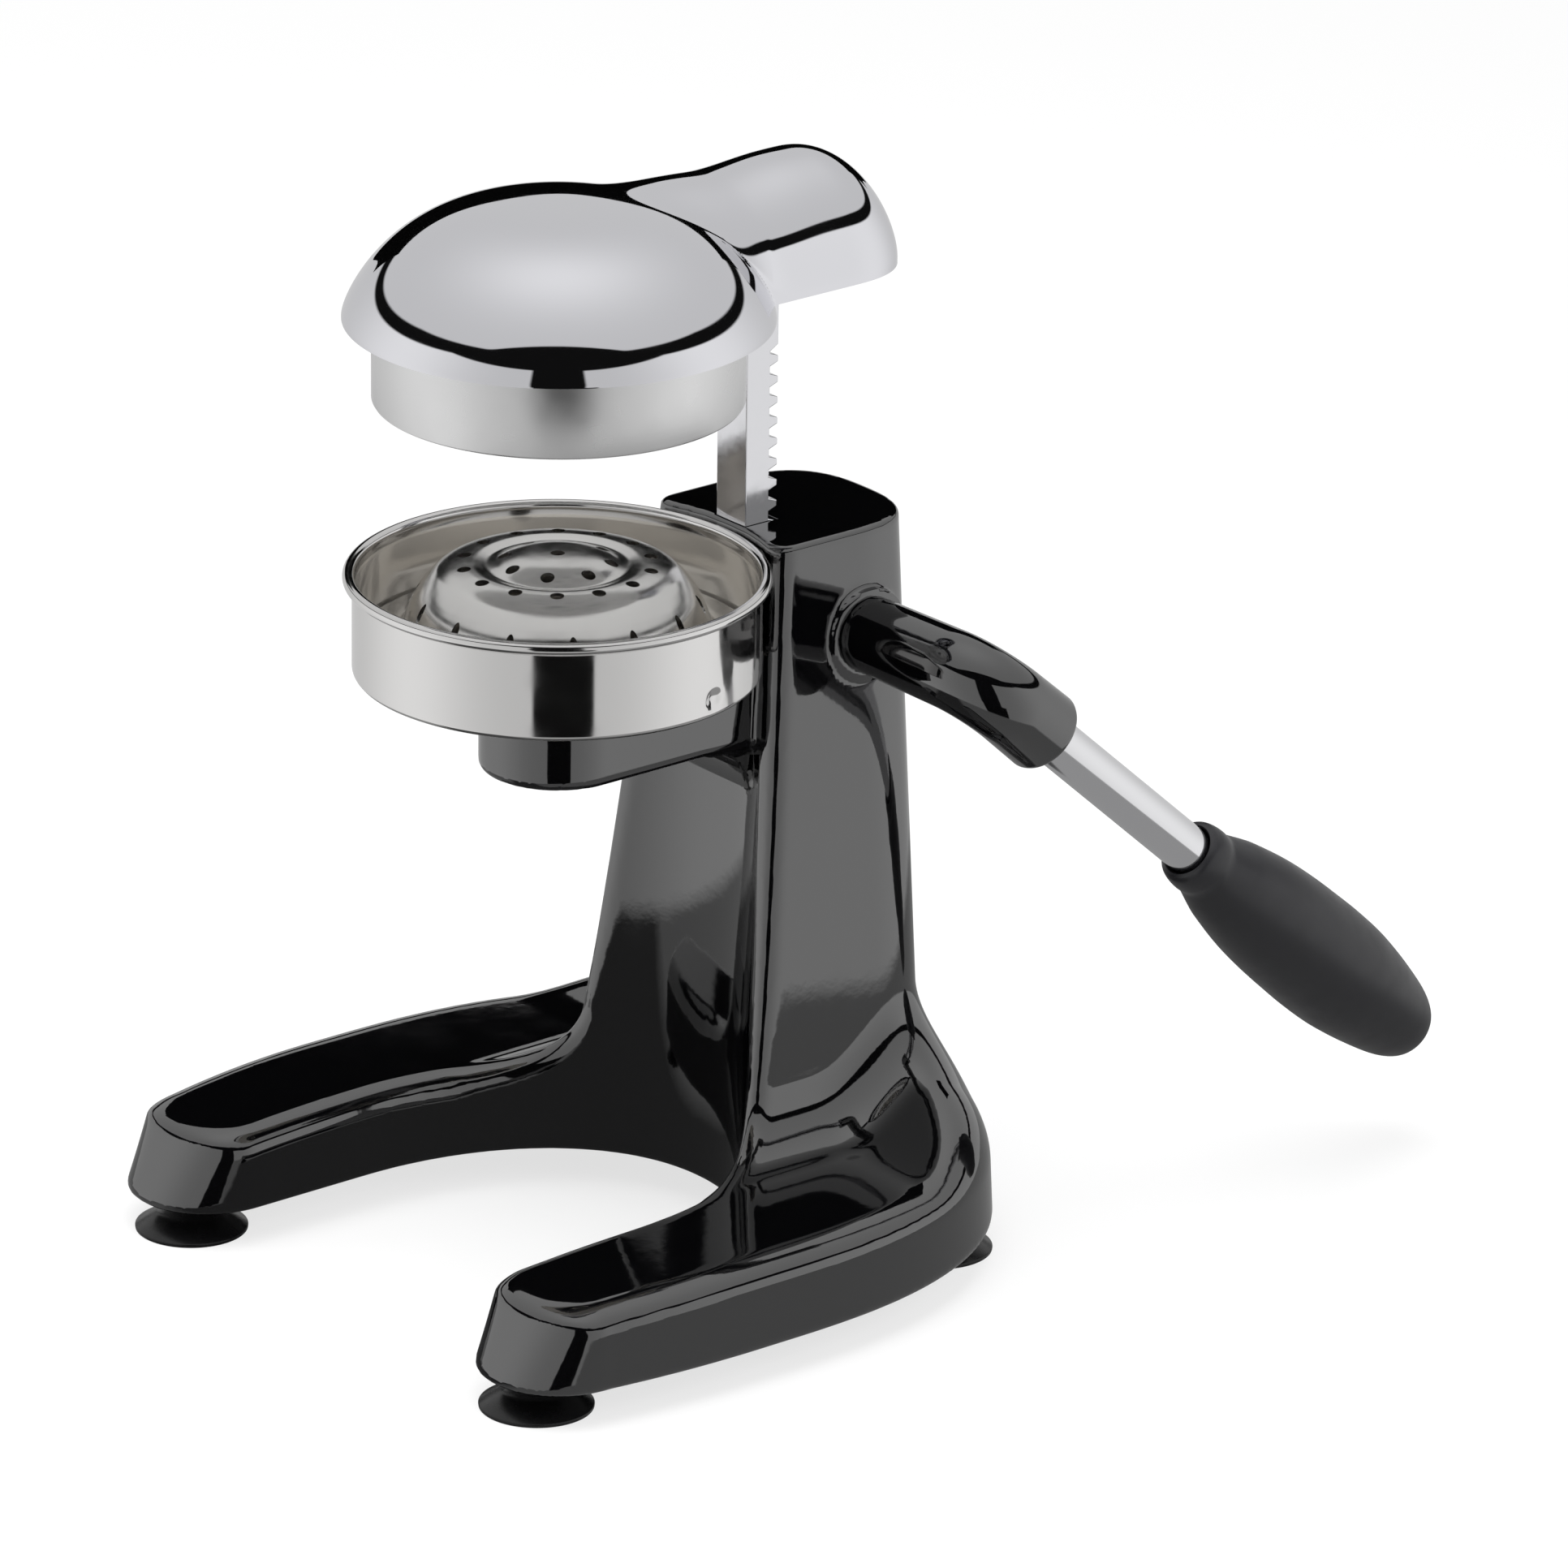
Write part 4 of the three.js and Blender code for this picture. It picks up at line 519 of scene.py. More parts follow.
def stand_field(points):
    """Rough distance from the casting's surface, negative inside. Left and right are alike, so
    it is worked out for |x|."""
    x, y, z = points
    x = np.abs(x)
    plate, opening, ends = base_forms(x, y, z)
    body = fillet(plate, column(x, y, z), FOOT_FILLET)
    corner = blend(INNER_EDGE, FRONT_CORNER, ramp((z - CORNER_START) / CORNER_RUN))
    body = round_edge(body, -opening, corner)
    body = np.where(y < CAP_Y, ends, body)
    body = fillet(body, web(x, y, z), WEB_FILLET)
    body = fillet(body, bracket(x, y, z), BRACKET_FILLET)
    body = round_edge(body, z - COLUMN_TOP, COLUMN_LIP)
    boss = round_edge(np.hypot(y - AXLE[1], z - AXLE[2]) - BOSS_RADIUS, x - BOSS_FACE, BOSS_EDGE)
    body = fillet(body, boss, BOSS_FILLET)
    cup_room = np.maximum(np.hypot(x, y) - CUP_ROOM_RADIUS, BRACKET_TOP + CUP_ROOM_LIFT - z)
    return round_edge(np.maximum(body, -cup_room), BASE_BOTTOM - z, BASE_LIP)


# %% [markdown]
# The surface is drawn out of the field with a net: every cell that the surface crosses gets one
# point, at the middle of its crossings, and every crossed grid edge joins the four cells round
# it.

# %% The net
def surface_net(field, low, high, step):
    """Points and quads on the surface where the field is zero. The surface has to lie well
    within the box from low to high."""
    axes = [np.arange(a, b + step, step) for a, b in zip(low, high)]
    grid = np.stack(np.meshgrid(*axes, indexing="ij"))
    values = field(grid)
    shape = np.array(values.shape) - 1
    total, count = np.zeros((3, *shape)), np.zeros(shape)

    def at(offset):
        """The field at one corner of every cell."""
        return values[tuple(slice(o, n + o) for o, n in zip(offset, shape))]

    for axis in range(3):
        for others in ((0, 0), (0, 1), (1, 0), (1, 1)):
            start = np.insert(others, axis, 0)
            a, b = at(start), at(np.insert(others, axis, 1))
            crossed = (a < 0) != (b < 0)
            share = np.where(crossed, a / np.where(crossed, a - b, 1), 0)
            total += start[:, None, None, None] * crossed
            total[axis] += share
            count += crossed
    used = count > 0
    number = np.full(shape, -1)
    number[used] = np.arange(used.sum())
    cells = np.stack(np.nonzero(used))
    points = (cells + total[:, used] / count[used]) * step + np.array(low)[:, None]
    faces = []
    for axis in range(3):
        a, b = np.roll(np.arange(3), -axis)[1:]
        edge = np.stack(np.nonzero(np.diff(values < 0, axis=axis)))
        ring = []
        for da, db in ((1, 1), (0, 1), (0, 0), (1, 0)):
            cell = edge.copy()
            cell[a] -= da
            cell[b] -= db
            ring.append(number[tuple(cell)])
        faces.append(np.stack(ring, -1))
    return points, np.concatenate(faces)


# %% [markdown]
# The net's points lie close to the surface but not on it, and a mirror would show that. So each
# one slides down the field's slope a few times.

# %% Settling, and cutters
SLOPE_FLOOR, LONGEST_MOVE = 0.05, 0.8


def settle(field, points, rounds=4, probe=0.02):
    """Moves points onto the surface: p - f g / |g|^2, with the slope g from small steps."""
    for _ in range(rounds):
        value = field(points)
        slope = []
        for k in range(3):
            step = np.zeros((3, 1))
            step[k] = probe
            slope.append((field(points + step) - field(points - step)) / (2 * probe))
        slope = np.stack(slope)
        move = value * slope / np.maximum((slope ** 2).sum(0), SLOPE_FLOOR)
        points = points - np.clip(move, -LONGEST_MOVE, LONGEST_MOVE)
    return points


def box_mesh(name, low, high):
    """A plain box, for milling."""
    corners = np.array([[x, y, z] for x in (low[0], high[0]) for y in (low[1], high[1])
                        for z in (low[2], high[2])], float)
    faces = [[0, 1, 3, 2], [4, 6, 7, 5], [0, 4, 5, 1], [2, 3, 7, 6], [0, 2, 6, 4], [1, 5, 7, 3]]
    return mesh_of(name, corners, np.array(faces))


def rod_mesh(name, radius, start, end, origin, direction, sides=64):
    """A plain round rod, for drilling."""
    points, faces = lathe([(0, start), (radius, start), (radius, end), (0, end)], sides)
    return mesh_of(name, along_axis(points, origin, direction), faces)


# %% [markdown]
# The casting is milled for the rack, the gear and the feet. A finer net costs time by the third
# power, and 1.15 mm is fine enough for the smallest edge.

# %% The stand
STEP = 1.15
NET_LOW, NET_HIGH, STAND_CREASE = (-96, -77, 6), (96, 108, 182), 50
net_points, net_faces = surface_net(stand_field, NET_LOW, NET_HIGH, STEP)
net_points = settle(stand_field, net_points)
stand = piece("cast_stand", mesh_of("cast_stand", net_points.T, net_faces, STAND_CREASE), enamel,
              "stand", "enamel", "stand_casting")
FOOT_PLACES = [(sx * fx, fy) for fx, fy in ((68.4, -59), (53, 77)) for sx in (1, -1)]
# A box has its low and high corner, and a rod its radius and its ends on a line.
cut_away(stand, [
    box_mesh("rack_way", (-5.9, 52.8, 135), (5.9, 63.1, 182)),
    box_mesh("lower_well", (-11.5, 52.8, 5), (11.5, 92, 137)),
    box_mesh("gear_chamber", (-11.5, 62.8, 130), (11.5, 92, 171)),
    rod_mesh("axle_bore", 8.6, -30, 30, AXLE, (1, 0, 0)),
    rod_mesh("cup_bore", 13, 125, 155, (0, 0, 0), (0, 0, 1)),
    box_mesh("right_pocket", (57.5, -40, 7), (84.5, 42, 23)),
    box_mesh("left_pocket", (-84.5, -40, 7), (-57.5, 42, 23)),
    *(rod_mesh("stem_hole", 3.6, 7, 15, (x, y, 0), (0, 0, 1), 32) for x, y in FOOT_PLACES),
], STAND_CREASE)

# %% [markdown]
# ## The head
# A domed casting with an arm to the back, polished and chromed. Its height over the table is a
# function of the place in plan: a flattened dome and a rounded ridge, blended so that even the
# curvature has no kink, because a mirror shows each one.

# %% Height of the head
HEAD_RIM, HEAD_RADIUS, HEAD_WALL, HEAD_MIDDLE_Y = 241.8, 51.7, 3.6, 24
DOME_BASE, DOME_HEIGHT, DOME_EXPONENT, DOME_RISE_EXPONENT, DOME_FADE = 242.3, 27.4, 3.04, 1.3, 2
ARM_HALF, ARM_BASE, ARM_EXPONENT, ARM_RISE_EXPONENT = 24.4, 243.3, 2.05, 1.61
ARM_ROOT_Y, ARM_ROOT_RUN, ARM_ROOT_EXPONENT = 45, 30, 2.5
ARM_END_START, ARM_END, ARM_END_EXPONENT = 70.6, 95.4, 2.66
RIDGE_Y, RIDGE_Z = (45, 70, 96), (268.5, 269.7, 267.8)
HEAD_BLEND = 19.2


def inside_head(points, inset=0.0):
    """Whether points lie under the head's skin, or under a skin drawn in by an inset.

    Dome: base + height (1 - r^m)^(1/n). Arm: base + ridge (1 - across^p - end^q - root^k)^(1/s).
    The two heights a and b are blended by max(a, b) + h^3 w / 6 with h = 1 - |a - b| / w."""
    x, y, z = points
    away = np.hypot(x, y)
    radius = HEAD_RADIUS - inset
    dome_share = 1 - (away / radius) ** DOME_EXPONENT
    dome = DOME_BASE + (DOME_HEIGHT - inset) * np.maximum(dome_share, 0) ** (1 / DOME_RISE_EXPONENT)
    dome -= DOME_FADE * np.maximum(away - radius, 0)
    end = np.maximum(y - ARM_END_START, 0) / (ARM_END - ARM_END_START - inset)
    root = np.maximum(ARM_ROOT_Y - y, 0) / ARM_ROOT_RUN
    across = np.abs(x) / (ARM_HALF - inset)
    arm_share = 1 - across ** ARM_EXPONENT - end ** ARM_END_EXPONENT - root ** ARM_ROOT_EXPONENT
    ridge = RIDGE_Z[0]
    for k in range(2):
        step = ramp((y - RIDGE_Y[k]) / (RIDGE_Y[k + 1] - RIDGE_Y[k]))
        ridge = ridge + (RIDGE_Z[k + 1] - RIDGE_Z[k]) * step
    arm = ARM_BASE + (ridge - ARM_BASE - inset) * np.maximum(arm_share, 0) ** (1 / ARM_RISE_EXPONENT)
    near = np.maximum(HEAD_BLEND - np.abs(dome - arm), 0) / HEAD_BLEND
    height = np.where(arm_share > 0, np.maximum(dome, arm) + near ** 3 * HEAD_BLEND / 6, dome)
    return ((dome_share > 0) | (arm_share > 0)) & (z < height)


# %% [markdown]
# Rays go out from a point low in the head, and halving finds where each one leaves the metal.

# %% The head
ROW_SPREAD, RAY_LENGTH, HALVINGS = 1.1, 110.0, 40
RACK_SOCKET = (-10, 48.7, 245), (10, 67.2, 262)


def head_skin(rows, columns, inset, start_z):
    """Points on the skin along rays from a point low in the head's middle, by halving."""
    climb = (np.linspace(0, 1, rows) ** ROW_SPREAD * math.pi / 2)[:, None]
    turn = np.linspace(0, FULL_TURN, columns, endpoint=False)[None, :]
    ray = np.stack([np.cos(climb) * np.cos(turn), np.cos(climb) * np.sin(turn),
                    np.sin(climb) + 0 * turn]).reshape(3, -1)
    origin = np.array([0, HEAD_MIDDLE_Y, start_z])[:, None]
    near, far = np.zeros(ray.shape[1]), np.full(ray.shape[1], RAY_LENGTH)
    for _ in range(HALVINGS):
        middle = (near + far) / 2
        inside = inside_head(origin + ray * middle, inset)
        near, far = np.where(inside, middle, near), np.where(inside, far, middle)
    return (origin + ray * near).T.reshape(rows, columns, 3)


HEAD_ROWS, HEAD_COLUMNS = ((150, 440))
outer = head_skin(HEAD_ROWS, HEAD_COLUMNS, 0.0, HEAD_RIM)
inner = head_skin(HEAD_ROWS // 3, HEAD_COLUMNS, HEAD_WALL, HEAD_RIM)
skin = np.concatenate([outer[::-1], inner])
head_faces = grid_faces(len(skin), HEAD_COLUMNS, False, True)
piece("chromed_head", mesh_of("chromed_head", skin.reshape(-1, 3), head_faces, 40), chrome, "head",
      "chrome", "head_casting")
piece("rack_socket", box_mesh("rack_socket", *RACK_SOCKET), chrome, "head", "chrome")

# %% [markdown]
# ## The press ring
# A bell of drawn steel, brushed round its outside. Only its wall shows below the head, and its
# edge is broken.

# %% Press ring
RING_RADIUS, RING_WALL, RING_BOTTOM, RING_SHOULDER, RING_TOP = 44.6, 0.9, 221.7, 241.6, 255.8
RING_BREAK, RING_BREAK_TOP, RING_STEPS, RING_SIDES = 0.3, RING_BOTTOM + 0.5, 16, 192
ring_bend, ring_bore = RING_TOP - RING_SHOULDER, RING_RADIUS - RING_WALL
ring_outside = rounded([(RING_RADIUS, RING_BOTTOM), (RING_RADIUS, RING_TOP), (0, RING_TOP)],
                       ring_bend, RING_STEPS)
ring_inside = rounded([(0, RING_TOP - RING_WALL), (ring_bore, RING_TOP - RING_WALL),
                       (ring_bore, RING_BOTTOM)], ring_bend - RING_WALL, RING_STEPS)
ring_profile = np.concatenate([
    [(RING_RADIUS - RING_BREAK, RING_BOTTOM), (RING_RADIUS, RING_BREAK_TOP)], ring_outside[1:],
    ring_inside[:-1], [(ring_bore, RING_BREAK_TOP), (ring_bore + RING_BREAK, RING_BOTTOM)]])
turned("brushed_press_ring", ring_profile, RING_SIDES, brushed_steel, "head", "steel", "press_ring")

# %% [markdown]
# ## The juice cup
# A spun cup with a rolled rim. Below its floor a collar and a spout reach through the bracket.
# The profile runs up the outside, round the rim's bead and down the inside.

# %% The cup's profile
CUP_RADIUS, CUP_BOTTOM, CUP_SHEET = 49.2, 152.5, 0.9
CUP_RIM_RADIUS, CUP_RIM, CUP_BEAD = 51.5, 177.9, 1.45
BEAD_START, BEAD_END, BEAD_POINTS, BEAD_ROOM, WALL_FOOT, WALL_POINTS = -68, 205, 24, 0.8, 3, 40
SPOUT_BORE, SPOUT_RADIUS, COLLAR_BORE, COLLAR_RADIUS = 5.9, 6.8, 11.5, 12.4
cup_bore, cup_floor = CUP_RADIUS - CUP_SHEET, CUP_BOTTOM + CUP_SHEET
bead_angle = np.radians(np.linspace(BEAD_START, BEAD_END, BEAD_POINTS))
bead = np.stack([CUP_RIM_RADIUS - CUP_BEAD + CUP_BEAD * np.cos(bead_angle),
                 CUP_RIM - CUP_BEAD + CUP_BEAD * np.sin(bead_angle)], -1)
wall_z = np.linspace(CUP_BOTTOM + WALL_FOOT, bead[0][1] - BEAD_ROOM, WALL_POINTS)
wall = np.stack([np.full(WALL_POINTS, CUP_RADIUS), wall_z], -1)
cup_outside = rounded([(SPOUT_BORE, 129.6), (SPOUT_RADIUS, 129.6), (SPOUT_RADIUS, 136.5),
                       (COLLAR_RADIUS, 147.5), (COLLAR_RADIUS, CUP_BOTTOM),
                       (CUP_RADIUS, CUP_BOTTOM), (CUP_RADIUS, CUP_BOTTOM + WALL_FOOT)],
                      [0, 0.3, 1.5, 1.5, 0.8, 2.4, 0], 8)
cup_inside = rounded([(cup_bore, CUP_BOTTOM + 3.5), (cup_bore, cup_floor), (COLLAR_BORE, cup_floor),
                      (COLLAR_BORE, 147.8), (SPOUT_BORE, 136.8), (SPOUT_BORE, 129.8)],
                     [0, 1.6, 0.8, 1, 1, 0], 8)
cup_profile = np.concatenate([cup_outside, wall[1:], bead, wall[:0:-1] - [CUP_SHEET, 0],
                              cup_inside[1:]])

# %% [markdown]
# Two dimples are pressed into the wall from outside and carry the strainer. Each one draws the
# points near it towards the axis, by a depth that fades with exp(-(distance / width)^4).

# %% Juice cup
DIMPLES, DIMPLE_TURN, DIMPLE_Z, DIMPLE_DEPTH, DIMPLE_WIDTH = 2, 11, 157.2, 0.75, 2.2
WALL_START, WALL_RUN, CUP_SIDES = 44, 3, 360
points, faces = lathe(cup_profile, CUP_SIDES, True)
turn, radius = np.arctan2(points[:, 1], points[:, 0]), np.hypot(points[:, 0], points[:, 1])
on_wall = ramp((radius - WALL_START) / WALL_RUN)
for k in range(DIMPLES):
    dimple = math.radians(DIMPLE_TURN) + FULL_TURN * k / DIMPLES
    aside = (turn - dimple + math.pi) % FULL_TURN - math.pi
    away = np.hypot(aside * CUP_RADIUS, points[:, 2] - DIMPLE_Z)
    push = DIMPLE_DEPTH * np.exp(-(away / DIMPLE_WIDTH) ** 4) * on_wall
    points[:, :2] *= (1 - push / np.maximum(radius, 1))[:, None]
piece("spun_juice_cup", mesh_of("spun_juice_cup", points, faces), spun_steel, "cup",
      "polished_steel", "juice_cup")

# %% [markdown]
# ## The strainer
# A pressed dome with a flat flange and a ring-shaped valley near the top. It is turned from its
# profile, a curve through a few stops, and the sheet's other side lies square to that curve.

# %% The strainer's dome
STRAINER_SHEET, STRAINER_POINTS, STRAINER_SIDES = 0.8, 140, 240
strainer_stops = [(0, 182.3), (5, 182.15), (9.5, 181.7), (13, 180.75), (15.2, 179.75), (17, 179.3),
                  (18.5, 179.6), (20, 179.9), (21.4, 179.9), (22.9, 179.78), (25, 179.4), (27, 178.8),
                  (28.7, 177.9), (30, 176.8), (31.3, 175.4), (32.6, 173.8), (34, 171.8), (35.3, 169.2),
                  (36.6, 166), (37.9, 163), (39.5, 161), (41.5, 160.4), (47.4, 160.4)]
upper = smooth_line(strainer_stops, STRAINER_POINTS)
along = np.gradient(upper, axis=0)
along /= np.linalg.norm(along, axis=1)[:, None]
lower = upper + np.stack([along[:, 1], -along[:, 0]], -1) * STRAINER_SHEET
upper[0, 0] = lower[0, 0] = 0
strainer = turned("pressed_strainer", np.concatenate([upper, lower[::-1]]), STRAINER_SIDES,
                  pressed_steel, "strainer", "polished_steel", "strainer_dome")

# %% [markdown]
# The holes and slots are punched through. A ring of them is one mesh: the cutter is copied
# round the axis.

# %% Holes and slots
HOLE_RADIUS, CENTRE_HOLE_RADIUS, HOLE_SIDES, DRILL = 1.7, 1.75, 24, 8
SLOT_HALF_WIDTH, SLOT_HALF_HEIGHT, SLOT_DEPTH = 1.1, 2.4, 5


def round_the_axis(points, faces, ring_radius, height, count, first_degrees):
    """Copies of a cutter spaced evenly round a circle: each point (x, y, z) goes to
    ((R + x) cos a - y sin a, (R + x) sin a + y cos a, h + z)."""
    angle = math.radians(first_degrees) + np.arange(count)[:, None] * FULL_TURN / count
    out, side = ring_radius + points[None, :, 0], points[None, :, 1]
    ring = np.stack([out * np.cos(angle) - side * np.sin(angle),
                     out * np.sin(angle) + side * np.cos(angle),
                     height + points[None, :, 2] + 0 * angle], -1)
    first = np.arange(count)[:, None, None] * len(points)
    return ring.reshape(-1, 3), (first + faces[None]).reshape(-1, 4)


drill, drill_faces = lathe([(0, -DRILL), (HOLE_RADIUS, -DRILL), (HOLE_RADIUS, DRILL), (0, DRILL)],
                           HOLE_SIDES)
wider = CENTRE_HOLE_RADIUS / HOLE_RADIUS
punch = np.stack([drill[:, 2] * SLOT_DEPTH / DRILL, drill[:, 0] * SLOT_HALF_WIDTH / HOLE_RADIUS,
                  drill[:, 1] * SLOT_HALF_HEIGHT / HOLE_RADIUS], -1)
# A cutter, then its ring's radius and height, the number of copies and the first one's angle
rings = [(drill * [wider, wider, 1], 0, 182, 1, 0), (drill, 13, 180, 8, 41),
         (drill, 22.9, 180, 14, 12.9), (punch, 35.3, 170.7, 14, 19.6)]
cut_away(strainer, [mesh_of("holes", *round_the_axis(cutter, drill_faces, *ring))
                    for cutter, *ring in rings])

# %% [markdown]
# ## Rack, elbow, tube and grip
# The rack is a bar with milled teeth on its back. A rack's teeth are straight-sided, and a small
# bevel takes the burr off the edges.

# %% Rack
RACK_FRONT, RACK_DEPTH, RACK_PITCH, RACK_HALF, RACK_BEVEL = 53.1, 7.2, 5.27, 5.6, 0.4
RACK_BOTTOM, RACK_STEP_START, RACK_STEP_END, RACK_TOP = 128, 222, 223.5, 262
ADDENDUM, DEDENDUM, TOOTH_PHASE, PRESSURE_ANGLE, PLAY = 1.15, 1.35, 0.76, 20, 0.14
FIRST_TOOTH, TOOTH_COUNT = -4, 17
root_y, tip_y = RACK_FRONT + RACK_DEPTH, RACK_FRONT + RACK_DEPTH + ADDENDUM + DEDENDUM
slope = math.tan(math.radians(PRESSURE_ANGLE))
tooth_half = RACK_PITCH / 4 - PLAY
tip_half, root_half = tooth_half - ADDENDUM * slope, tooth_half + DEDENDUM * slope
middle = AXLE[2] + TOOTH_PHASE + (FIRST_TOOTH + 0.5 + np.arange(TOOTH_COUNT)) * RACK_PITCH
tooth_z = middle[:, None] + [-root_half, -tip_half, tip_half, root_half]
teeth = np.stack([np.tile([root_y, tip_y, tip_y, root_y], TOOTH_COUNT), tooth_z.ravel()], -1)
outline = np.concatenate([
    [(RACK_FRONT, RACK_BOTTOM), (root_y, RACK_BOTTOM)], teeth,
    [(root_y, RACK_STEP_START), (tip_y, RACK_STEP_END), (tip_y, RACK_TOP), (RACK_FRONT, RACK_TOP)]])
count = len(outline)
sides = [np.insert(outline, 0, x, 1) for x in (-RACK_HALF, RACK_HALF)]
this, following = np.arange(count), (np.arange(count) + 1) % count
bands = np.stack([following, this, count + this, count + following], -1)
rack_mesh = mesh_of("milled_rack", np.concatenate(sides), [this, count + this[::-1], *bands])
rack_mesh.shade_flat()
rack = piece("milled_rack", rack_mesh, satin_chrome, "head", "chrome", "rack_bar")
soften = rack.modifiers.new("soften", "BEVEL")
soften.width, soften.segments, soften.limit_method = RACK_BEVEL * MM, 2, "ANGLE"

# %% [markdown]
# The elbow is cast and enamelled like the stand. It bends through a quarter circle on its way
# from the shaft to the lever, and takes the tube in a round seat.

# %% Elbow
LEVER_X, LEVER_DOWN, BEND_RADIUS = 70.5, math.radians(41.5), 12.0
ELBOW_START, ELBOW_TAIL, ELBOW_BOSS, ELBOW_END = 28.3, 13.6, 9.4, 10.3
ELBOW_RINGS, ELBOW_SIDES, SEAT_RADIUS, SEAT_DEPTH = 120, 72, 6.35, 8
END_SHARE, END_DROP = 0.015, 0.25  # the rounded last part of the way, and how much it takes off
SIDEWAYS = np.array([1, 0, 0])
lever_way = np.array([0, math.cos(LEVER_DOWN), -math.sin(LEVER_DOWN)])
lever_origin = AXLE + LEVER_X * SIDEWAYS


def elbow_path(count):
    """Points and directions along the axle, round a quarter circle and on along the lever, and
    the share of the way at each."""
    straight = LEVER_X - BEND_RADIUS - ELBOW_START
    whole = straight + BEND_RADIUS * math.pi / 2 + ELBOW_TAIL
    along = np.linspace(0, whole, count)
    angle = np.clip((along - straight) / BEND_RADIUS, 0, math.pi / 2)
    tail = np.maximum(along - straight - BEND_RADIUS * math.pi / 2, 0)
    out = np.minimum(along, straight) + BEND_RADIUS * np.sin(angle) + ELBOW_START
    away = BEND_RADIUS * (1 - np.cos(angle)) + tail
    centre = AXLE + out[:, None] * SIDEWAYS + away[:, None] * lever_way
    direction = np.cos(angle)[:, None] * SIDEWAYS + np.sin(angle)[:, None] * lever_way
    return centre, direction, along / whole


centre, direction, share = elbow_path(ELBOW_RINGS)
across = np.cross(SIDEWAYS, lever_way)
other = np.cross(direction, across)
past = np.clip(share - 1 + END_SHARE, 0, 1) / END_SHARE
radius = blend(ELBOW_BOSS, ELBOW_END, share) * np.sqrt(1 - past ** 2 * END_DROP)
turn = np.linspace(0, FULL_TURN, ELBOW_SIDES, endpoint=False)[:, None]
skin = centre[:, None] + radius[:, None, None] * (
    np.cos(turn) * across + np.sin(turn) * other[:, None])
seat = centre[-1] + SEAT_RADIUS * (np.cos(turn) * across + np.sin(turn) * other[-1])
seat_end = np.tile(centre[-1] - lever_way * SEAT_DEPTH, (1, ELBOW_SIDES, 1))
skin = np.concatenate([np.tile(centre[0], (1, ELBOW_SIDES, 1)), skin, seat[None],
                       (seat - lever_way * SEAT_DEPTH)[None], seat_end])
elbow_faces = grid_faces(len(skin), ELBOW_SIDES, False, True)
piece("cast_elbow", mesh_of("cast_elbow", skin.reshape(-1, 3), elbow_faces, 40), enamel, "lever",
      "enamel", "lever_elbow")

# %% [markdown]
# The tube is drawn steel. The grip has a collar at its mouth, a slow swelling and a round end.

# %% Tube and grip
TUBE_BORE, TUBE_RADIUS, TUBE_START, TUBE_END, TUBE_EDGE = 4.65, 6.05, 14, 149.7, 0.3
GRIP_BORE, GRIP_MOUTH_RADIUS, GRIP_MOUTH, GRIP_BORE_END, GRIP_POINTS = 6.35, 6.8, 88, 96, 110
on_lever = dict(origin=lever_origin, direction=lever_way)
tube_profile = rounded([(TUBE_BORE, TUBE_START), (TUBE_RADIUS, TUBE_START), (TUBE_RADIUS, TUBE_END),
                        (TUBE_BORE, TUBE_END)], TUBE_EDGE)
turned("drawn_tube", tube_profile, 96, drawn_steel, "lever", "polished_steel", "lever_tube",
       **on_lever)

grip_stops = [(7.65, 88.4), (8.3, 89.3), (8.75, 91.2), (8.92, 93.5), (8.8, 96), (9.55, 98.8),
              (10.7, 102.6), (11.8, 107), (13.6, 118), (14.5, 129), (14.85, 141), (14.9, 147),
              (14.7, 154), (14.2, 160), (12.9, 169), (10.85, 179), (8.6, 184.8), (6.1, 187.3),
              (3.3, 188.4), (0, 188.7)]
grip_bore = [(0, GRIP_BORE_END), (GRIP_BORE, GRIP_BORE_END), (GRIP_BORE, GRIP_MOUTH + 0.5),
             (GRIP_MOUTH_RADIUS, GRIP_MOUTH)]
grip_profile = np.concatenate([grip_bore, smooth_line(grip_stops, GRIP_POINTS)])
grip_profile[-1, 0] = 0
turned("turned_grip", grip_profile, 128, grip_plastic, "lever", "grip", "lever_grip", **on_lever,
       sharp_degrees=50)

# %% [markdown]
# ## Feet, washer and screw
# The feet are four moulded suction cups on short stems. On the left end of the shaft a washer
# and a slotted screw keep the lever from sliding out.

# %% Feet
foot_profile = rounded([(0, 1.8), (7, 1.6), (10.6, 0), (13.8, 0), (13.9, 0.9), (11.5, 2.4), (8.2, 4.4),
                        (6.6, 6.6), (6.4, 8.7), (3.3, 8.7), (3.3, 14), (0, 14)],
                       [0, 4, 0.3, 0.3, 0.4, 2, 3, 2, 0.2, 0, 0.3, 0])
for (x, y), place in zip(FOOT_PLACES, ("front_right", "front_left", "rear_right", "rear_left")):
    turned(f"rubber_foot_{place}", foot_profile, 96, rubber, "stand", "rubber",
           f"suction_foot_{place}", origin=(x, y, 0))

# %% Washer and screw on the left end of the shaft
WASHER_RADIUS, WASHER_START, WASHER_END = 9.6, -30.5, -28.9
washer_profile = rounded([(0, WASHER_START), (WASHER_RADIUS, WASHER_START),
                          (WASHER_RADIUS, WASHER_END), (0, WASHER_END)], [0, 0.5, 0.3, 0])
screw_profile = rounded([(0, -34), (3.4, -34), (4.6, -32.4), (4.6, -30.8), (2.5, -30.8), (2.5, -17),
                         (0, -17)], [0, 1, 1, 0.1, 0, 0.3, 0])
on_shaft = dict(origin=AXLE, direction=SIDEWAYS)
turned("end_washer", washer_profile, 96, machined_steel, "lever", "gear_steel", "shaft_end_washer",
       **on_shaft)
end_screw = turned("end_screw", screw_profile, 64, machined_steel, "lever", "gear_steel",
                   "shaft_end_screw", **on_shaft)
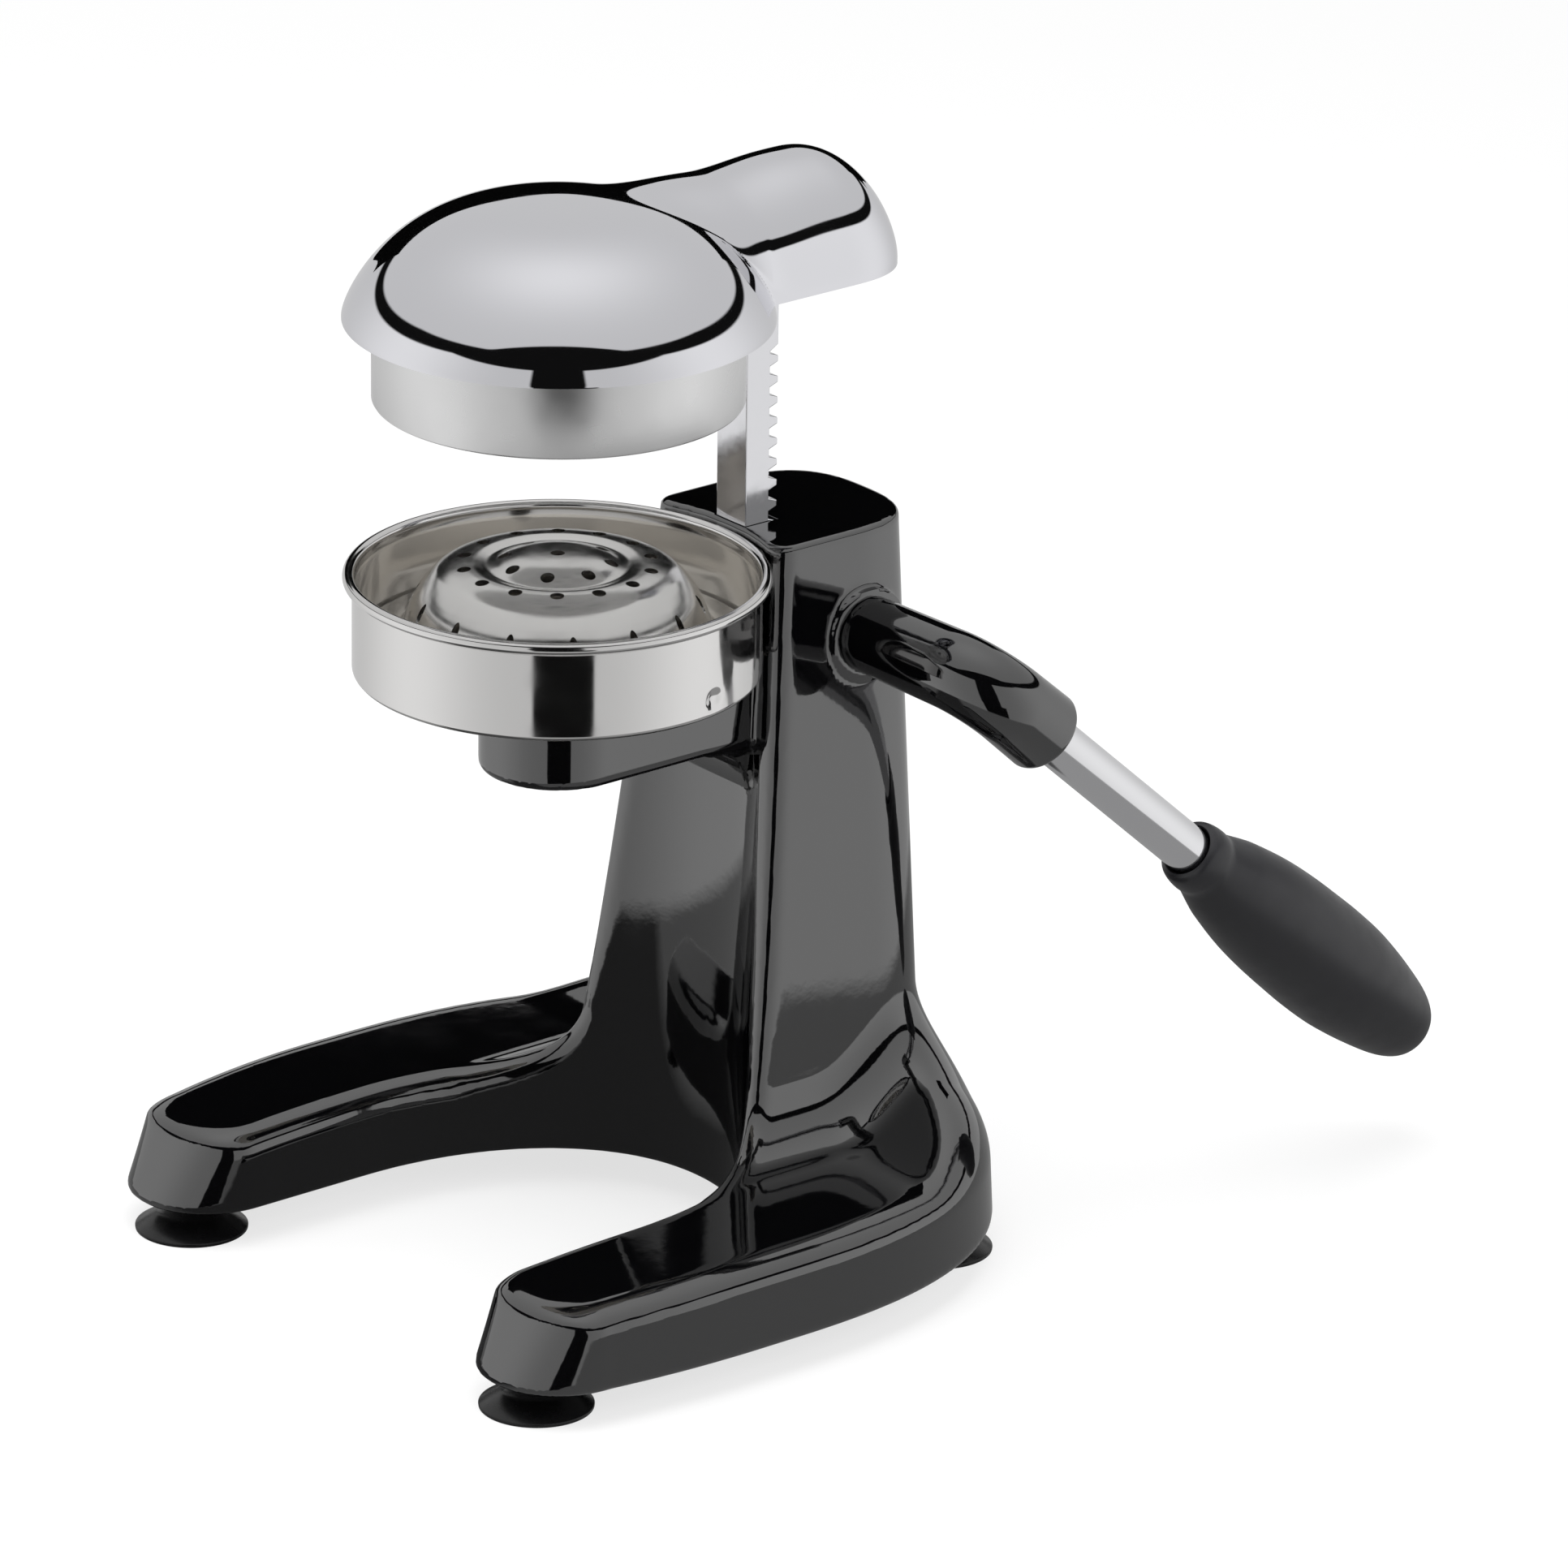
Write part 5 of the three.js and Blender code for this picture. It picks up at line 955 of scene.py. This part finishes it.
cut_away(end_screw, [box_mesh("slot", AXLE + [-36, -6, -0.7], AXLE + [-32.8, 6, 0.7])])

# %% [markdown]
# ## Hidden works
# The gear, its shaft and pins, the bushes and the screws keep their CAD shapes and get their
# finishes.

# %% Finishes of the CAD nodes that stay
finish_of = {"bronze": sintered_bronze, "gear_steel": machined_steel, "polished_steel": drawn_steel,
             "enamel": enamel, "chrome": chrome, "steel": brushed_steel, "grip": grip_plastic,
             "rubber": rubber}
slot_of = {part["node"]: part["material_slot"] for part in frame["record"]["subparts"]}
for name, node in frame["nodes"].items():
    if not node.hide_render:
        node.data.materials.clear()
        node.data.materials.append(finish_of[slot_of[name]])
        print(name, "keeps its CAD shape")

# %% [markdown]
# ## Camera
# The camera stands where the photographer's did: far away with a long lens, a little above the
# cup and round to the lever's side.

# %% Camera
AZIMUTH, ELEVATION, DISTANCE = math.radians(51.094), math.radians(20.768), 3146.9
PAN, TILT, ROLL = -0.007536, 0.004726, math.radians(0.5435)
AIM, FILM_WIDTH, LENS, FARTHEST = Vector((0, 40, 130)), 36, 298.55, 20
back = Vector((math.sin(AZIMUTH) * math.cos(ELEVATION), -math.cos(AZIMUTH) * math.cos(ELEVATION),
               math.sin(ELEVATION)))
right = Vector((math.cos(AZIMUTH), math.sin(AZIMUTH), 0))
axes = Matrix((right, back.cross(right), back)).transposed()
for angle, axis in ((PAN, "Y"), (-TILT, "X"), (ROLL, "Z")):
    axes = axes @ Matrix.Rotation(angle, 3, axis)
camera_data = bpy.data.cameras.new("camera")
camera_data.sensor_width, camera_data.lens, camera_data.clip_end = FILM_WIDTH, LENS, FARTHEST
camera = add_object("camera", camera_data)
camera.matrix_world = (Matrix.Translation((AIM + back * DISTANCE + Vector(to_frame)) * MM)
                       @ axes.to_4x4())
bpy.context.scene.camera = camera
print("camera:", LENS, "mm lens at", round(DISTANCE), "mm")

# %% [markdown]
# ## The floor
# The camera and soft light see a sheet of white paper. Mirrors see painted shade on it:
# grey in the press's own shade, nearly black in the deeper shade between the arms, and past a
# hand's width nothing but the bright walls. Light Path tells these rays apart.

# %% Floor
FLOOR_HALF, PAPER_GLOW, WHITE = 6.0, 0.72, (1, 1, 1, 1)
# Levels and places of the painted shade that mirrors see on the floor
SHADE_RADIUS, SHADE_BLUR, SHADE_LIGHT, GAP_SHADE_LIGHT = 0.26, 0.02, 0.32, 0.07
GAP_HALF, GAP_BACK = 0.052, 0.045 + cup_axis_y * MM
floor_mesh = bpy.data.meshes.new("floor")
floor_mesh.from_pydata([(x * FLOOR_HALF, y * FLOOR_HALF, 0)
                        for x, y in ((-1, -1), (1, -1), (1, 1), (-1, 1))], [], [(0, 1, 2, 3)])
floor = add_object("floor", floor_mesh)
paper, tree, place = new_material("white_paper")
floor_mesh.materials.append(paper)

# %% [markdown]
# The paper is matt, and the camera also sees it glow, which stands for the light that a whole
# studio throws back. The mirrors' own floor is worked out from the distance to the middle and
# from the place between the arms.

# %% The paper's finish
rays = add_node(tree, "LightPath").outputs
matt = add_node(tree, "BsdfDiffuse", {"Color": linear("#f4f4f4")})
glow = add_node(tree, "Emission", {"Color": WHITE, "Strength": 1.0})
seen_paper = add_node(tree, "MixShader", {0: PAPER_GLOW, 1: matt, 2: glow})
chosen = add_node(tree, "MixShader", {0: rays["Is Camera Ray"], 1: matt, 2: seen_paper})
# Painted shade for mirrors: a grey glow within the shade's radius, darkest between the arms
away = add_node(tree, "VectorMath", {0: place}, operation="LENGTH")
apart = add_node(tree, "SeparateXYZ", {0: place}).outputs
sideways = add_node(tree, "Math", {0: apart["X"]}, operation="ABSOLUTE")
past_shade, out_of_gap, behind_gap = (
    add_node(tree, "MapRange", {"Value": value, "From Min": edge, "From Max": edge + SHADE_BLUR})
    for value, edge in ((away.outputs["Value"], SHADE_RADIUS), (sideways, GAP_HALF),
                        (apart["Y"], GAP_BACK)))
open_floor = add_node(tree, "Math", {0: out_of_gap, 1: behind_gap}, operation="MAXIMUM")
grey = add_node(tree, "MapRange", {"Value": open_floor, "To Min": GAP_SHADE_LIGHT, "To Max": SHADE_LIGHT})
painted_floor_shade = add_node(tree, "Emission", {"Color": WHITE, "Strength": grey})
gone = add_node(tree, "BsdfTransparent")
mirrored = add_node(tree, "MixShader", {0: past_shade, 1: painted_floor_shade, 2: gone})
final = add_node(tree, "MixShader", {0: rays["Is Glossy Ray"], 1: chosen, 2: mirrored})
add_node(tree, "OutputMaterial", {"Surface": final})

# %% [markdown]
# ## Dark card
# A curved card of black felt stands behind the press, below the camera's line. Only mirrors see
# it: it keeps the flat tops of the stand black and puts the dark edge on the back of the dome.
# Its lower edge rises towards its ends.

# %% Dark card behind
CARD_RADIUS, CARD_LOW, CARD_HIGH, CARD_SPREAD, CARD_POINTS = 500, 195, 397, 34, 35
CARD_LEVEL_SPREAD, CARD_END_LIFT = 16, 100
card_turn = np.linspace(-CARD_SPREAD, CARD_SPREAD, CARD_POINTS)
angle = AZIMUTH + math.pi + np.radians(card_turn)
rim = np.stack([CARD_RADIUS * np.sin(angle), -CARD_RADIUS * np.cos(angle) + cup_axis_y, 0 * angle], -1)
past_level = np.abs(card_turn) - CARD_LEVEL_SPREAD
lift = CARD_END_LIFT * ramp(past_level / (CARD_SPREAD - CARD_LEVEL_SPREAD))
low_edge = rim + np.stack([0 * lift, 0 * lift, CARD_LOW + lift], -1)
card_mesh = bpy.data.meshes.new("dark_card")
card_mesh.from_pydata((np.concatenate([low_edge, rim + [0, 0, CARD_HIGH]]) * MM).tolist(), [],
                      grid_faces(2, CARD_POINTS).tolist())
card = add_object("dark_card", card_mesh)
card.visible_camera = card.visible_diffuse = card.visible_shadow = card.visible_transmission = False
felt, tree, place = new_material("black_felt")
dull = add_node(tree, "BsdfDiffuse", {"Color": linear("#050505")})
add_node(tree, "OutputMaterial", {"Surface": dull})
card_mesh.materials.append(felt)

# %% [markdown]
# ## Lamps
# Three soft lamps give the matt pieces their shape. Mirrors don't see them, because their room
# has lights of its own.

# %% Lamps
LAMPS = {  # place in metres, width in metres, power in watts
    "overhead": ((0.1, -0.3, 1.5), 1.2, 22), "side": ((1.2, 0.3, 0.8), 0.8, 7),
    "front_left": ((-1.1, -1.0, 0.9), 0.8, 6)}
LAMP_AIM = Vector((0, 0, 0.1))
for name, (spot, size, power) in LAMPS.items():
    lamp_data = bpy.data.lights.new(name, "AREA")
    lamp_data.size, lamp_data.energy = size, power
    lamp = add_object(name, lamp_data)
    lamp.location = spot
    lamp.rotation_euler = (Vector(spot) - LAMP_AIM).to_track_quat("Z", "Y").to_euler()
    lamp.visible_glossy = False
    print(name, "lamp:", power, "W")

# %% [markdown]
# ## The room in the mirrors
# The world is a function of direction: its height, how far it points to the camera's side
# (facing) and how far to the right (aside). A ceiling fills the top, walls fill the rest, and a
# dark gap parts them. Two dark cards hang in front of the camera.

# %% Directions in the world
GLOW_ELEVATION = math.radians(80)
world = bpy.data.worlds.new("studio")
bpy.context.scene.world = world
world.use_nodes = True
world.cycles.sampling_method = "NONE"  # so that only a mirror's own rays see the mirrors' room
tree = world.node_tree
tree.nodes.clear()
look = add_node(tree, "TexCoord").outputs["Generated"]
directions = {
    "height": (0, 0, 1), "facing": (math.sin(AZIMUTH), -math.cos(AZIMUTH), 0),
    "aside": (math.cos(AZIMUTH), math.sin(AZIMUTH), 0),
    "to_glow": (-math.sin(AZIMUTH) * math.cos(GLOW_ELEVATION),
                math.cos(AZIMUTH) * math.cos(GLOW_ELEVATION), math.sin(GLOW_ELEVATION))}
signal = {name: add_node(tree, "VectorMath", {0: look, 1: direction},
                         operation="DOT_PRODUCT").outputs["Value"]
          for name, direction in directions.items()}

# %% [markdown]
# The room is a list of sums that is worked through row by row. Each row is one Math node: the
# name of its result, its operation, and numbers or the names of earlier results. Results that
# start with is_ are kept between 0 and 1.

# %% The room's sums
CEILING_FRONT, CEILING_BACK, CEILING_SOFTNESS = 1.15, 0.25, 0.04
CEILING_SIDES, CEILING_NEAR_TILT, CEILING_FAR_TILT = 0.60, 0.33, 0.42
CEILING_LIGHT, CEILING_GLOW, GLOW_POWER = 0.66, 0.27, 7.0
WALL_TOP, WALL_NEAR, WALL_TILT = 0.566, 0.43, 0.30
WALL_LIGHT, WALL_SIDE_LIGHT, SIDE_POWER = 0.63, 0.31, 4.0
EDGE_SHARPNESS, CARD_SHARPNESS, FRONT_SHARPNESS, GAP_GLOW = 50, 33, 20, 0.006
NEARLY_UP, NEARLY_ASIDE = 0.0001, 0.001  # floors that keep the divisions safe
FRONT_CARDS = ((-0.25, 0.26, -0.26, 0.6), (-0.23, 0.39, -0.6, -0.26))  # left, right, bottom, top
rows = [
    ("height_squared", "MULTIPLY", "height", "height"),
    ("rest", "SUBTRACT", 1.0, "height_squared"),
    ("rest_kept", "MAXIMUM", "rest", NEARLY_UP),
    ("level", "SQRT", "rest_kept"),
    ("ceiling_front", "MULTIPLY", "facing", CEILING_FRONT),
    ("ceiling_back", "MULTIPLY", "level", CEILING_BACK),
    ("ceiling_flat", "MULTIPLY", "level", CEILING_SIDES),
    ("ceiling_near", "MULTIPLY_ADD", "facing", CEILING_NEAR_TILT, "ceiling_flat"),
    ("ceiling_far", "MULTIPLY_ADD", "facing", CEILING_FAR_TILT, "ceiling_flat"),
    ("ceiling_sides", "MINIMUM", "ceiling_near", "ceiling_far"),
    ("ceiling_ends", "MAXIMUM", "ceiling_front", "ceiling_back"),
    ("ceiling_edge", "SMOOTH_MAX", "ceiling_sides", "ceiling_ends", CEILING_SOFTNESS),
    ("over_edge", "SUBTRACT", "height", "ceiling_edge"),
    ("is_ceiling", "MULTIPLY_ADD", "over_edge", EDGE_SHARPNESS, 0.5),
    ("wall_far", "MULTIPLY", "level", WALL_TOP),
    ("wall_flat", "MULTIPLY", "level", WALL_NEAR),
    ("wall_near", "MULTIPLY_ADD", "facing", WALL_TILT, "wall_flat"),
    ("wall_edge", "MINIMUM", "wall_far", "wall_near"),
    ("under_edge", "SUBTRACT", "wall_edge", "height"),
    ("is_wall", "MULTIPLY_ADD", "under_edge", EDGE_SHARPNESS, 0.5),
    ("glow_kept", "MAXIMUM", "to_glow", 0.0),
    ("glow", "POWER", "glow_kept", GLOW_POWER),
    ("ceiling_light", "MULTIPLY_ADD", "glow", CEILING_GLOW, CEILING_LIGHT),
    ("turn", "DIVIDE", "aside", "level"),
    ("turn_size", "ABSOLUTE", "turn"),
    ("side_share", "POWER", "turn_size", SIDE_POWER),
    ("wall_light", "MULTIPLY_ADD", "side_share", WALL_SIDE_LIGHT, WALL_LIGHT),
    ("front", "MAXIMUM", "facing", NEARLY_ASIDE),
    ("bearing", "DIVIDE", "aside", "front"),
    ("is_front", "MULTIPLY_ADD", "facing", FRONT_SHARPNESS, -1),
    ("cards", "MULTIPLY", "is_front", 0.0),
]
for k, edges in enumerate(FRONT_CARDS):
    for edge, value, source, sign in zip(("left", "right", "bottom", "top"), edges,
                                         ("bearing", "bearing", "height", "height"), (1, -1, 1, -1)):
        rows.append((f"is_{edge}{k}", "MULTIPLY_ADD", source, sign * CARD_SHARPNESS,
                     0.5 - sign * CARD_SHARPNESS * value))
    rows += [(f"across{k}", "MULTIPLY", f"is_left{k}", f"is_right{k}"),
             (f"upright{k}", "MULTIPLY", f"is_bottom{k}", f"is_top{k}"),
             (f"card{k}", "MULTIPLY", f"across{k}", f"upright{k}"),
             ("cards", "MULTIPLY_ADD", f"card{k}", "is_front", "cards")]
rows += [
    ("no_card", "SUBTRACT", 1.0, "cards"),
    ("open_wall", "MULTIPLY", "is_wall", "no_card"),
    ("wall_shine", "MULTIPLY_ADD", "open_wall", "wall_light", GAP_GLOW),
    ("shine", "MULTIPLY_ADD", "is_ceiling", "ceiling_light", "wall_shine"),
]
for name, operation, *values in rows:
    inputs = {i: signal.get(value, value) for i, value in enumerate(values)}
    signal[name] = add_node(tree, "Math", inputs, operation=operation,
                            use_clamp=name.startswith("is_"))

# %% [markdown]
# A mirror's rays see that room, soft light comes evenly from everywhere, and the camera sees
# plain white.

# %% The world's light
SOFT_LIGHT, WHITE_LIGHT = 0.55, 1.0
path = add_node(tree, "LightPath").outputs
mirror = add_node(tree, "Mix", {
    0: path["Is Glossy Ray"], VALUE_A: SOFT_LIGHT, VALUE_B: signal["shine"]})
strength = add_node(tree, "Mix", {
    0: path["Is Camera Ray"], VALUE_A: mirror, VALUE_B: WHITE_LIGHT})
backdrop = add_node(tree, "Background", {"Color": WHITE, "Strength": strength})
add_node(tree, "OutputWorld", {"Surface": backdrop})
print("world:", len(tree.nodes), "nodes")

bpy.context.scene.view_settings.view_transform = "Standard"
